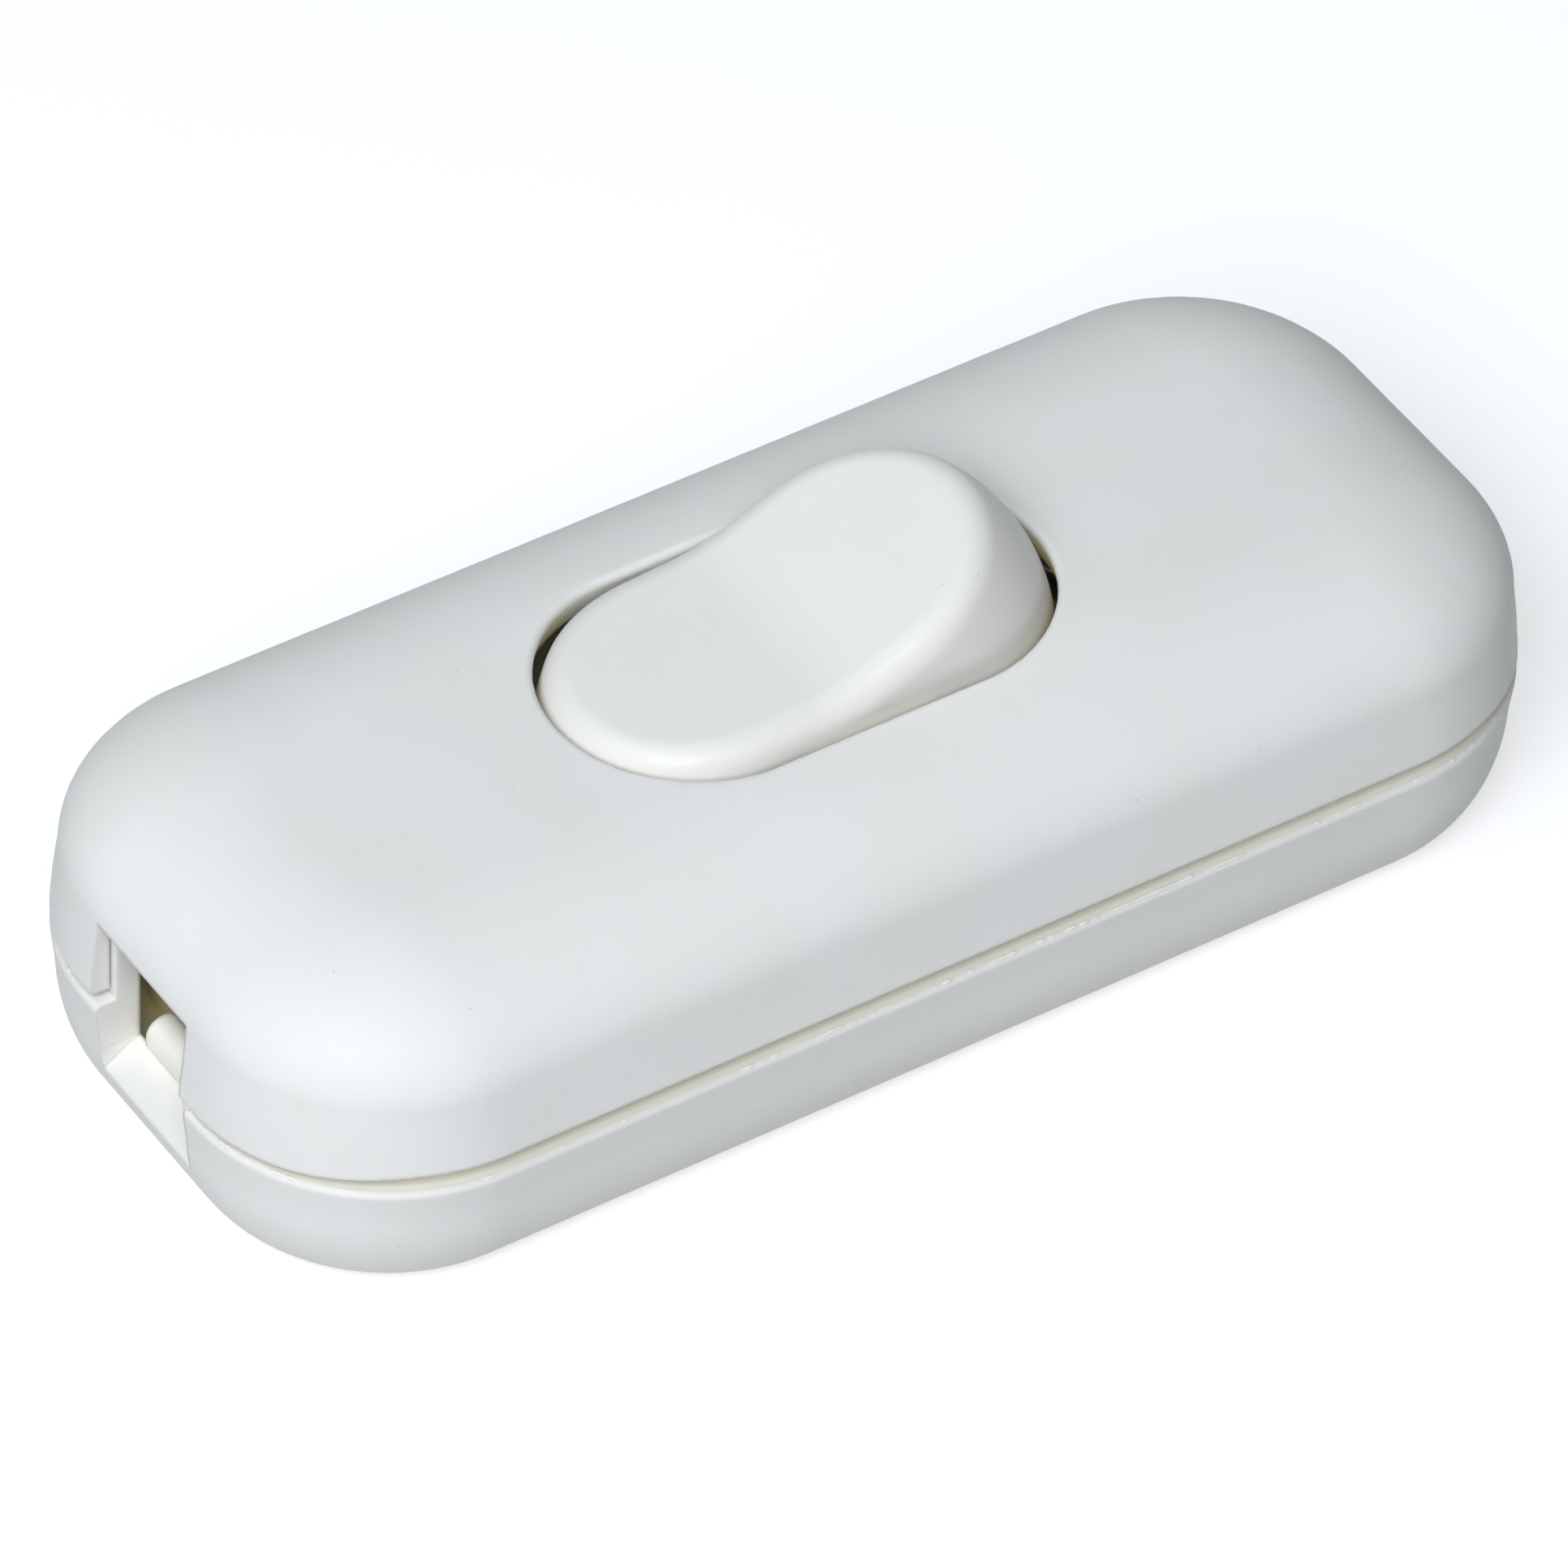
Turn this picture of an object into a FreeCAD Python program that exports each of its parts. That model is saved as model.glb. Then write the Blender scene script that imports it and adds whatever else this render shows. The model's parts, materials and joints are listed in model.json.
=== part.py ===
# Inline cord switch: a two-part moulded housing with a see-saw rocker on top,
# a cord inlet at each end and a single-pole contact mechanism inside.
# Millimetres. +X runs along the housing, +Z is up, the origin is the centre of the underside.
# The rocker is drawn with its -X half pressed, which is the open position of the contacts.

import FreeCAD
import Part
import math
import os
import re
import Sketcher

SIZES = {
    # housing
    "body_length": 65.0,
    "body_width": 28.0,
    "corner_radius": 9.7,
    "base_height": 6.55,
    "reveal_gap": 0.85,
    "cover_height": 8.0,
    "side_draft": 7.0,
    "crown_run": 8.3,
    "crown_drop": 4.8,
    "sole_run": 2.5,
    "sole_rise": 4.7,
    "wall_thickness": 2.2,
    "roof_thickness": 1.8,
    "floor_thickness": 2.0,
    "roof_slope": 50.0,
    "floor_fillet": 0.8,
    "lip_setback": 1.1,
    "lip_overlap": 1.2,
    "lip_clearance": 0.1,
    "lip_headroom": 0.15,
    "edge_break": 0.25,
    "opening_round": 0.3,
    # cord inlets
    "notch_width": 7.1,
    "notch_shift": -0.1,
    "notch_rise": 3.5,
    "trough_width": 7.0,
    "trough_shift": 0.3,
    "trough_depth": 2.45,
    "cheek_width": 1.3,
    "cheek_rise": 1.3,
    "cheek_clearance": 0.15,
    "rib_setback": 2.85,
    "rib_thickness": 1.7,
    "rib_top": 5.5,
    "rib_reach": 2.7,
    # rocker and its bearings
    "opening_length": 23.6,
    "opening_width": 13.1,
    "rocker_gap": 0.42,
    "pivot_depth": 4.3,
    "rocker_proud": 1.05,
    "vee_angle": 9.75,
    "rest_tilt": 13.65,
    "valley_radius": 10.0,
    "edge_round": 1.4,
    "skirt_drop": 1.5,
    "rocker_roof": 1.6,
    "rocker_wall": 1.5,
    "hollow_length": 14.4,
    "pin_diameter": 2.4,
    "pin_clearance": 0.06,
    "pin_inset": 0.1,
    "bearing_thickness": 1.6,
    "bearing_width": 6.0,
    "bearing_below": 2.4,
    # plunger and spring
    "sleeve_diameter": 5.0,
    "sleeve_drop": 4.2,
    "bore_diameter": 3.0,
    "bore_rise": 2.6,
    "plunger_slack": 0.1,
    "plunger_length": 4.8,
    "plunger_nose": 2.0,
    "nose_round": 0.8,
    "nose_length": 1.4,
    "plunger_gap": 0.2,
    "wire_diameter": 0.3,
    "spring_slack": 0.25,
    "spring_seat": 0.05,
    "spring_turns": 4.0,
    # contacts
    "strap_thickness": 0.7,
    "strap_width": 4.0,
    "button_diameter": 2.4,
    "button_round": 0.25,
    "fixed_button": 0.7,
    "moving_button": 0.8,
    "button_gap": 0.15,
    "button_reach": 6.5,
    "seesaw_thickness": 0.7,
    "seesaw_width": 4.0,
    "seesaw_arm": 8.0,
    "seesaw_tilt": 6.5,
    "trunnion_diameter": 1.0,
    "trunnion_clearance": 0.06,
    "fork_width": 2.8,
    "fork_inside": 5.2,
    "fork_thickness": 0.7,
    "fork_rise": 0.9,
    "stop_width": 2.0,
    "stop_gap": 0.15,
    "stop_side_gap": 0.5,
    # terminals
    "terminal_gap": 4.1,
    "block_gap": 0.2,
    "block_size": 5.0,
    "block_height": 5.0,
    "block_chamfer": 0.4,
    "wire_bore": 2.6,
    "wire_level": 1.9,
    "neutral_gap": 1.0,
    "neutral_side_gap": 0.6,
    "neutral_width": 3.0,
    "screw_clearance": 0.08,
    "terminal_thread": 3.0,
    "terminal_shank": 2.0,
    "terminal_head": 4.4,
    "terminal_head_height": 1.6,
    # cord clamps
    "clamp_setback": 7.0,
    "clamp_width": 3.8,
    "clamp_thickness": 1.8,
    "arch_width": 5.2,
    "arch_rise": 4.2,
    "arch_slope": 0.8,
    "pillar_diameter": 4.6,
    "pillar_top": 6.0,
    "clamp_thread": 2.2,
    "clamp_shank": 4.6,
    "clamp_head": 3.8,
    "head_clearance": 0.25,
    "clamp_head_height": 1.4,
    # case screws
    "case_gap": 0.6,
    "post_gap": 0.8,
    "post_diameter": 8.0,
    "post_top": 5.0,
    "seat_depth": 3.0,
    "seat_clearance": 0.3,
    "boss_diameter": 5.0,
    "case_thread": 3.0,
    "case_clearance": 0.15,
    "case_shank": 7.5,
    "case_head": 5.4,
    "case_head_height": 2.0,
    "tip_chamfer": 0.4,
    "slot_width": 0.7,
    "slot_depth": 0.7,
    "thread_runout": 0.6,
    # length by which a cut runs past the face it starts from
    "cut_margin": 1.0,
}

SIZE_NAME = re.compile(r"\b[a-z]+(?:_[a-z]+)+\b")

# heights and reaches that several pieces share, as formulas of the named sizes
COVER_EDGE = "(base_height + reveal_gap)"
COVER_TOP = "(base_height + reveal_gap + cover_height)"
LIP_TOP = "(base_height + reveal_gap + lip_overlap)"
CHEEK_TOP = "(base_height + reveal_gap + lip_overlap + cheek_rise)"
PIVOT_LEVEL = "(base_height + reveal_gap + cover_height - pivot_depth)"
STRAP_TOP = "(floor_thickness + strap_thickness)"
BLOCK_TOP = "(floor_thickness + strap_thickness + block_height)"
AXLE_LEVEL = (
    "(floor_thickness + strap_thickness + fixed_button + button_gap"
    " + moving_button + seesaw_thickness / 2)"
)
ROCKER_HALF = "(opening_width / 2 - rocker_gap)"
ROCKER_RADIUS = "sqrt((opening_length / 2 - rocker_gap) ^ 2 + pivot_depth ^ 2)"
PLATEAU = "(pivot_depth + rocker_proud)"
NOSE_LEVEL = "(" + PIVOT_LEVEL + " - " + AXLE_LEVEL + " - trunnion_diameter / 2 - plunger_gap)"
BEARING_OUT = "(opening_width / 2 + bearing_thickness)"
CLAMP_PITCH = "(arch_width + clamp_thickness + 2 * arch_slope + clamp_head + 2 * head_clearance)"
CLAMP_SPAN = "(%s + clamp_head + 2 * head_clearance)" % CLAMP_PITCH
CLAMP_REACH = "(body_length / 2 - clamp_setback)"
CASE_REACH = "(%s - clamp_width / 2 - case_gap - boss_diameter / 2)" % CLAMP_REACH
CASE_SHIFT = "(body_width / 2 - wall_thickness - post_gap - post_diameter / 2)"
TERMINAL_REACH = "(%s - clamp_width / 2 - terminal_gap - block_size / 2)" % CLAMP_REACH
NEUTRAL_REACH = "(%s - post_diameter / 2 - neutral_gap - block_size / 2)" % CASE_REACH
NEUTRAL_SHIFT = "(body_width / 2 - wall_thickness - neutral_side_gap - block_size / 2)"
TERMINAL_SHIFT = "(%s - block_size - block_gap)" % NEUTRAL_SHIFT
BLOCK_NEAR = "(%s - block_size / 2)" % TERMINAL_SHIFT
BLOCK_FAR = "(%s + block_size / 2)" % TERMINAL_SHIFT

doc = FreeCAD.newDocument("inline_cord_switch")
sheet = doc.addObject("Spreadsheet::Sheet", "Dims")
for row, (name, value) in enumerate(SIZES.items(), start=1):
    sheet.set("A%d" % row, name)
    sheet.set("B%d" % row, str(value))
    sheet.setAlias("B%d" % row, name)
doc.recompute()

nodes = []


def rule(text):
    """Point every named size in a formula at its spreadsheet cell."""
    return SIZE_NAME.sub(lambda found: "Dims." + found.group(0), text)


def bind(item, path, text):
    item.setExpression(path, rule(text))


def new_body(label):
    body = doc.addObject("PartDesign::Body", label)
    body.Label = label
    nodes.append(body)
    return body


def new_sketch(body, name, role, offset="0"):
    sketch = body.newObject("Sketcher::SketchObject", name)
    support = [item for item in body.Origin.OriginFeatures if item.Role == role][0]
    sketch.AttachmentSupport = [(support, "")]
    sketch.MapMode = "FlatFace"
    bind(sketch, "AttachmentOffset.Base.z", offset)
    return sketch


def add_dimension(sketch, kind, first, first_point, second, second_point, text):
    """Dimension two points as they are drawn, then tie the dimension to a formula."""
    gap = sketch.getPoint(second, second_point) - sketch.getPoint(first, first_point)
    drawn = gap.x if kind == "DistanceX" else gap.y
    rank = sketch.addConstraint(
        Sketcher.Constraint(kind, first, first_point, second, second_point, drawn)
    )
    bind(sketch, "Constraints[%d]" % rank, text)


def pin_point(sketch, geometry, point, across, along):
    """Hold one point of a sketch at two formulas from the sketch origin."""
    add_dimension(sketch, "DistanceX", -1, 1, geometry, point, across)
    add_dimension(sketch, "DistanceY", -1, 1, geometry, point, along)


def polygon(sketch, corners):
    """Closed outline of straight edges, each corner held by two formulas."""
    first = sketch.GeometryCount
    count = len(corners)
    turn = 2 * math.pi / count
    spots = [FreeCAD.Vector(math.cos(turn * k), math.sin(turn * k), 0) for k in range(count)]
    for k in range(count):
        sketch.addGeometry(Part.LineSegment(spots[k], spots[(k + 1) % count]), False)
    for k in range(count):
        following = first + (k + 1) % count
        sketch.addConstraint(Sketcher.Constraint("Coincident", first + k, 2, following, 1))
    for k, (across, along) in enumerate(corners):
        pin_point(sketch, first + k, 1, across, along)


def rectangle(sketch, left, right, low, high):
    polygon(sketch, [(left, low), (right, low), (right, high), (left, high)])


def circle(sketch, across, along, diameter):
    rank = sketch.addGeometry(
        Part.Circle(FreeCAD.Vector(1, 1, 0), FreeCAD.Vector(0, 0, 1), 1), False
    )
    pin_point(sketch, rank, 3, across, along)
    size = sketch.addConstraint(Sketcher.Constraint("Diameter", rank, 2.0))
    bind(sketch, "Constraints[%d]" % size, diameter)


def rounded_rectangle(sketch, inset):
    """The housing's plan outline, moved inwards by the formula inset."""
    half_x = SIZES["body_length"] / 2
    half_y = SIZES["body_width"] / 2
    turn = SIZES["corner_radius"]
    in_x = half_x - turn
    in_y = half_y - turn
    sides = [
        ((-in_x, -half_y), (in_x, -half_y), (in_x, -in_y), -90),
        ((half_x, -in_y), (half_x, in_y), (in_x, in_y), 0),
        ((in_x, half_y), (-in_x, half_y), (-in_x, in_y), 90),
        ((-half_x, in_y), (-half_x, -in_y), (-in_x, -in_y), 180),
    ]
    for start, end, centre, angle in sides:
        sketch.addGeometry(
            Part.LineSegment(FreeCAD.Vector(*start, 0), FreeCAD.Vector(*end, 0)), False
        )
        ring = Part.Circle(FreeCAD.Vector(*centre, 0), FreeCAD.Vector(0, 0, 1), turn)
        sketch.addGeometry(
            Part.ArcOfCircle(ring, math.radians(angle), math.radians(angle + 90)), False
        )
    for side in range(4):
        line = 2 * side
        arc = line + 1
        sketch.addConstraint(Sketcher.Constraint("Tangent", line, 2, arc, 1))
        sketch.addConstraint(Sketcher.Constraint("Tangent", arc, 2, (line + 2) % 8, 1))
        direction = "Horizontal" if side % 2 == 0 else "Vertical"
        sketch.addConstraint(Sketcher.Constraint(direction, line))
    for side in range(1, 4):
        sketch.addConstraint(Sketcher.Constraint("Equal", 1, 2 * side + 1))
    sketch.addConstraint(Sketcher.Constraint("Symmetric", 1, 3, 5, 3, -1, 1))
    radius = sketch.addConstraint(Sketcher.Constraint("Radius", 1, turn))
    bind(sketch, "Constraints[%d]" % radius, "corner_radius - " + inset)
    add_dimension(sketch, "DistanceX", -1, 1, 2, 1, "body_length / 2 - " + inset)
    add_dimension(sketch, "DistanceY", -1, 1, 4, 1, "body_width / 2 - " + inset)


def stadium(sketch, length, width, start_length, start_width):
    """Slot outline with full-round ends, centred on the sketch origin."""
    turn = start_width / 2
    reach = start_length / 2 - turn
    sketch.addGeometry(
        Part.LineSegment(FreeCAD.Vector(-reach, -turn, 0), FreeCAD.Vector(reach, -turn, 0)), False
    )
    ring = Part.Circle(FreeCAD.Vector(reach, 0, 0), FreeCAD.Vector(0, 0, 1), turn)
    sketch.addGeometry(Part.ArcOfCircle(ring, -math.pi / 2, math.pi / 2), False)
    sketch.addGeometry(
        Part.LineSegment(FreeCAD.Vector(reach, turn, 0), FreeCAD.Vector(-reach, turn, 0)), False
    )
    ring = Part.Circle(FreeCAD.Vector(-reach, 0, 0), FreeCAD.Vector(0, 0, 1), turn)
    sketch.addGeometry(Part.ArcOfCircle(ring, math.pi / 2, 3 * math.pi / 2), False)
    for k in range(4):
        sketch.addConstraint(Sketcher.Constraint("Tangent", k, 2, (k + 1) % 4, 1))
    sketch.addConstraint(Sketcher.Constraint("Horizontal", 0))
    sketch.addConstraint(Sketcher.Constraint("Symmetric", 1, 3, 3, 3, -1, 1))
    radius = sketch.addConstraint(Sketcher.Constraint("Radius", 1, turn))
    bind(sketch, "Constraints[%d]" % radius, width + " / 2")
    add_dimension(sketch, "DistanceX", -1, 1, 1, 3, length + " / 2 - " + width + " / 2")


def bullnose(sketch, middle, thickness, foot, top, start_thickness):
    """Section of a rib with a full-round crest."""
    turn = start_thickness / 2
    low_left = FreeCAD.Vector(-turn, 0, 0)
    low_right = FreeCAD.Vector(turn, 0, 0)
    rise = FreeCAD.Vector(0, start_thickness, 0)
    sketch.addGeometry(Part.LineSegment(low_left, low_right), False)
    sketch.addGeometry(Part.LineSegment(low_right, low_right + rise), False)
    ring = Part.Circle(rise, FreeCAD.Vector(0, 0, 1), turn)
    sketch.addGeometry(Part.ArcOfCircle(ring, 0, math.pi), False)
    sketch.addGeometry(Part.LineSegment(low_left + rise, low_left), False)
    sketch.addConstraint(Sketcher.Constraint("Coincident", 0, 2, 1, 1))
    sketch.addConstraint(Sketcher.Constraint("Tangent", 1, 2, 2, 1))
    sketch.addConstraint(Sketcher.Constraint("Tangent", 2, 2, 3, 1))
    sketch.addConstraint(Sketcher.Constraint("Coincident", 3, 2, 0, 1))
    sketch.addConstraint(Sketcher.Constraint("Vertical", 1))
    sketch.addConstraint(Sketcher.Constraint("Vertical", 3))
    pin_point(sketch, 0, 1, "%s - %s / 2" % (middle, thickness), foot)
    pin_point(sketch, 0, 2, "%s + %s / 2" % (middle, thickness), foot)
    add_dimension(sketch, "DistanceY", -1, 1, 2, 3, "%s - %s / 2" % (top, thickness))


def extrude(kind, body, name, sketch, length, backwards=False, both_ways=False):
    feature = body.newObject(kind, name)
    feature.Profile = sketch
    feature.Reversed = backwards
    if both_ways:
        feature.SideType = "Symmetric"
    bind(feature, "Length", length)
    before = body.Shape.Volume if not body.Shape.isNull() else 0.0
    doc.recompute()
    gain = feature.Shape.Volume - before
    wrong_way = gain <= 0 if kind == "PartDesign::Pad" else gain >= 0
    if wrong_way:
        raise RuntimeError("%s of %s changes nothing" % (name, body.Label))
    return feature


def pad(body, name, sketch, length, backwards=False, both_ways=False):
    return extrude("PartDesign::Pad", body, name, sketch, length, backwards, both_ways)


def pocket(body, name, sketch, length, backwards=False, both_ways=False):
    return extrude("PartDesign::Pocket", body, name, sketch, length, backwards, both_ways)


def edge_names(shape, wanted):
    return ["Edge%d" % (k + 1) for k, edge in enumerate(shape.Edges) if wanted(edge)]


def round_edges(body, name, base, names, radius):
    feature = body.newObject("PartDesign::Fillet", name)
    feature.Base = (base, names)
    bind(feature, "Radius", radius)
    doc.recompute()
    return feature


def at_level(level):
    """Edges that lie flat at one height."""
    near = 0.0005

    def flat(edge):
        box = edge.BoundBox
        return abs(box.ZMin - level) < near and abs(box.ZMax - level) < near

    return flat


def sweep_cut(body, name, path, profile):
    """Trim the housing's wall to a profile that runs round the whole plan outline."""
    feature = body.newObject("PartDesign::SubtractivePipe", name)
    feature.Profile = profile
    feature.Spine = (path, ["Edge%d" % (k + 1) for k in range(len(path.Shape.Edges))])
    before = body.Shape.Volume
    doc.recompute()
    if feature.Shape.Volume >= before:
        raise RuntimeError("%s of %s cuts nothing" % (name, body.Label))
    return feature


def wall_profile(sketch, edge_level, blend_level, end_level, run, rise, upward):
    """Waste outside a moulded wall: its drafted flank and the elliptic blend past it."""
    sense = 1 if upward else -1
    run_now = SIZES[run]
    rise_now = SIZES[rise]
    margin = SIZES["cut_margin"]
    side = "(-body_width / 2)"
    flank = "(%s + abs(%s - %s) * tan(side_draft))" % (side, blend_level, edge_level)
    crest = "(%s + %s)" % (flank, run)
    outside = "(%s - 2 * cut_margin)" % side
    past_edge = "(%s - %d * cut_margin)" % (edge_level, sense)
    past_end = "(%s + %d * cut_margin)" % (end_level, sense)
    corners = [
        (flank, blend_level),
        ("%s - cut_margin * tan(side_draft)" % side, past_edge),
        (outside, past_edge),
        (outside, past_end),
        (crest, past_end),
        (crest, end_level),
    ]
    drawn = [
        (-run_now, 0),
        (-run_now, -sense * rise_now),
        (-run_now - margin, -sense * rise_now),
        (-run_now - margin, sense * (rise_now + margin)),
        (0, sense * (rise_now + margin)),
        (0, sense * rise_now),
    ]
    spots = [FreeCAD.Vector(across, along, 0) for across, along in drawn]
    for k in range(5):
        sketch.addGeometry(Part.LineSegment(spots[k], spots[k + 1]), False)
    middle = FreeCAD.Vector(0, 0, 0)
    across = FreeCAD.Vector(run_now, 0, 0)
    upright = FreeCAD.Vector(0, rise_now, 0)
    wide = run_now > rise_now
    oval = Part.Ellipse(across, upright, middle) if wide else Part.Ellipse(upright, -across, middle)
    blend = sketch.addGeometry(Part.ArcOfEllipse(oval, math.pi / 2, math.pi), False)
    at_start = 4 if wide else 0
    at_end = 0 if wide else 4
    for k in range(4):
        sketch.addConstraint(Sketcher.Constraint("Coincident", k, 2, k + 1, 1))
    sketch.addConstraint(Sketcher.Constraint("Coincident", at_start, 2 if wide else 1, blend, 1))
    sketch.addConstraint(Sketcher.Constraint("Coincident", at_end, 1 if wide else 2, blend, 2))
    for k in range(5):
        pin_point(sketch, k, 1, *corners[k])
    pin_point(sketch, 4, 2, *corners[5])
    pin_point(sketch, blend, 3, crest, blend_level)
    sketch.exposeInternalGeometry(blend)
    direction = "Horizontal" if wide else "Vertical"
    sketch.addConstraint(Sketcher.Constraint(direction, blend + 1))
    doc.recompute()


# base: tray with an upstanding lip, cord troughs, screw posts and clamp pillars
ENDS = (("left", -1), ("right", 1))
PROFILE_START = "corner_radius - body_length / 2"

base = new_body("base")
outline = new_sketch(base, "base_outline", "XY_Plane")
rounded_rectangle(outline, "0")
pad(base, "base_block", outline, "base_height")
profile = new_sketch(base, "base_wall", "YZ_Plane", PROFILE_START)
wall_profile(profile, "base_height", "sole_rise", "0", "sole_run", "sole_rise", False)
sole = sweep_cut(base, "base_sole", outline, profile)
rim_edges = edge_names(sole.Shape, at_level(SIZES["base_height"]))
round_edges(base, "base_rim", sole, rim_edges, "edge_break")

lip = new_sketch(base, "lip_outline", "XY_Plane", "base_height")
rounded_rectangle(lip, "lip_setback")
pad(base, "base_lip", lip, "reveal_gap + lip_overlap")
cavity = new_sketch(base, "base_inside", "XY_Plane", LIP_TOP)
rounded_rectangle(cavity, "wall_thickness")
hollow = pocket(base, "base_cavity", cavity, LIP_TOP + " - floor_thickness")
corner = edge_names(hollow.Shape, at_level(SIZES["floor_thickness"]))
round_edges(base, "base_floor_fillet", hollow, corner, "floor_fillet")

for end, sign in ENDS:
    middle = "(%d * trough_shift)" % sign
    outer = "%d * (body_length / 2 + cut_margin)" % sign
    trough = new_sketch(base, "trough_" + end, "YZ_Plane", outer)
    rectangle(
        trough,
        middle + " - trough_width / 2",
        middle + " + trough_width / 2",
        "base_height - trough_depth",
        LIP_TOP + " + cut_margin",
    )
    pocket(base, "trough_cut_" + end, trough, "wall_thickness + 2 * cut_margin", sign < 0)

    cheek_near = "(%d * (trough_width / 2 - trough_shift))" % -sign
    cheek_far = "(%s + %d * cheek_width)" % (cheek_near, -sign)
    cheek_out = "(%d * (body_length / 2 - lip_setback))" % sign
    cheek_in = "(%d * (body_length / 2 - wall_thickness))" % sign
    cheek = new_sketch(base, "cheek_" + end, "XY_Plane", "base_height")
    rectangle(cheek, cheek_out, cheek_in, cheek_near, cheek_far)
    pad(base, "cheek_wall_" + end, cheek, CHEEK_TOP + " - base_height")

    ridge = "(%d * (body_length / 2 - rib_setback))" % sign
    rib = new_sketch(base, "rib_" + end, "XZ_Plane", "-1 * " + middle)
    bullnose(
        rib, ridge, "rib_thickness", "floor_thickness / 2", "rib_top", SIZES["rib_thickness"]
    )
    pad(base, "rib_wall_" + end, rib, "2 * rib_reach", False, True)

    clamp_x = "%d * %s" % (sign, CLAMP_REACH)
    for side in (-1, 1):
        across = "%s + %d * %s / 2" % (middle, side, CLAMP_PITCH)
        mark = "%s_%s" % (end, "front" if side < 0 else "back")
        stand = new_sketch(base, "pillar_" + mark, "XY_Plane", "floor_thickness / 2")
        circle(stand, clamp_x, across, "pillar_diameter")
        pad(base, "pillar_post_" + mark, stand, "pillar_top - floor_thickness / 2")
        thread = new_sketch(base, "pilot_" + mark, "XY_Plane", "pillar_top")
        circle(thread, clamp_x, across, "clamp_thread + 2 * screw_clearance")
        pocket(base, "pilot_hole_" + mark, thread, "clamp_shank - clamp_thickness + thread_runout")

    case_x = "%d * %s" % (sign, CASE_REACH)
    case_y = "%d * %s" % (-sign, CASE_SHIFT)
    post = new_sketch(base, "post_" + end, "XY_Plane", "floor_thickness / 2")
    circle(post, case_x, case_y, "post_diameter")
    pad(base, "screw_post_" + end, post, "post_top - floor_thickness / 2")
    seat = new_sketch(base, "seat_" + end, "XY_Plane")
    circle(seat, case_x, case_y, "case_head + 2 * seat_clearance")
    pocket(base, "screw_seat_" + end, seat, "seat_depth", True)
    through = new_sketch(base, "through_" + end, "XY_Plane")
    circle(through, case_x, case_y, "case_thread + 2 * case_clearance")
    pocket(base, "screw_way_" + end, through, "post_top + cut_margin", True)

stop = new_sketch(base, "stop_outline", "XY_Plane", "floor_thickness / 2")
rectangle(
    stop,
    "button_reach - stop_width / 2",
    "button_reach + stop_width / 2",
    "-seesaw_width / 2",
    BLOCK_NEAR + " - stop_side_gap",
)
pad(base, "seesaw_stop", stop, AXLE_LEVEL + " - seesaw_thickness / 2 - stop_gap - floor_thickness / 2")

# upper cover: crowned lid with the rocker opening, bearing ribs and screw bosses
cover = new_body("upper_cover")
outline = new_sketch(cover, "cover_outline", "XY_Plane", COVER_EDGE)
rounded_rectangle(outline, "0")
pad(cover, "cover_block", outline, "cover_height")
profile = new_sketch(cover, "cover_wall", "YZ_Plane", PROFILE_START)
blend_start = "(%s - crown_drop)" % COVER_TOP
wall_profile(profile, COVER_EDGE, blend_start, COVER_TOP, "crown_run", "crown_drop", True)
crown = sweep_cut(cover, "cover_crown", outline, profile)
skirt_level = SIZES["base_height"] + SIZES["reveal_gap"]
rim_edges = edge_names(crown.Shape, at_level(skirt_level))
round_edges(cover, "cover_rim", crown, rim_edges, "edge_break")

cavity = new_sketch(cover, "cover_inside", "XY_Plane", COVER_EDGE)
rounded_rectangle(cavity, "wall_thickness")
pocket(cover, "cover_cavity", cavity, "cover_height - crown_drop", True)
haunch = new_sketch(cover, "haunch_outline", "XY_Plane", blend_start)
rounded_rectangle(haunch, "wall_thickness")
vault = pocket(cover, "cover_vault", haunch, "crown_drop - roof_thickness", True)
bind(vault, "TaperAngle", "-roof_slope")
doc.recompute()
rebate = new_sketch(cover, "rebate_outline", "XY_Plane", COVER_EDGE)
rounded_rectangle(rebate, "(lip_setback - lip_clearance)")
pocket(cover, "cover_rebate", rebate, "lip_overlap + lip_headroom", True)

# the opening widens downwards, so that its wall keeps its distance from the round rocker rim
opening = new_sketch(cover, "opening_outline", "XY_Plane", COVER_TOP)
stadium(
    opening, "opening_length", "opening_width", SIZES["opening_length"], SIZES["opening_width"]
)
mouth = pocket(cover, "rocker_opening", opening, "roof_thickness + cut_margin")
bind(mouth, "TaperAngle", "asin((pivot_depth - roof_thickness / 2) / %s)" % ROCKER_RADIUS)
doc.recompute()
mid_roof = skirt_level + SIZES["cover_height"] - SIZES["roof_thickness"] / 2


def round_the_mouth(edge):
    box = edge.BoundBox
    inside = max(box.XMax, -box.XMin) <= (SIZES["opening_length"] + SIZES["opening_round"]) / 2
    return inside and box.ZMin > mid_roof


lip_edges = edge_names(mouth.Shape, round_the_mouth)
round_edges(cover, "opening_lip", mouth, lip_edges, "opening_round")

for side in (-1, 1):
    mark = "front" if side < 0 else "back"
    near = "%d * opening_width / 2" % side
    far = "%d * %s" % (side, BEARING_OUT)
    rib = new_sketch(cover, "bearing_" + mark, "XY_Plane", PIVOT_LEVEL + " - bearing_below")
    rectangle(rib, "-bearing_width / 2", "bearing_width / 2", near, far)
    pad(cover, "bearing_rib_" + mark, rib, "bearing_below + pivot_depth - roof_thickness / 2")

bearing = new_sketch(cover, "bearing_bore", "XZ_Plane")
circle(bearing, "0", PIVOT_LEVEL, "pin_diameter + 2 * pin_clearance")
pocket(cover, "bearing_holes", bearing, "2 * %s + cut_margin" % BEARING_OUT, False, True)

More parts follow.
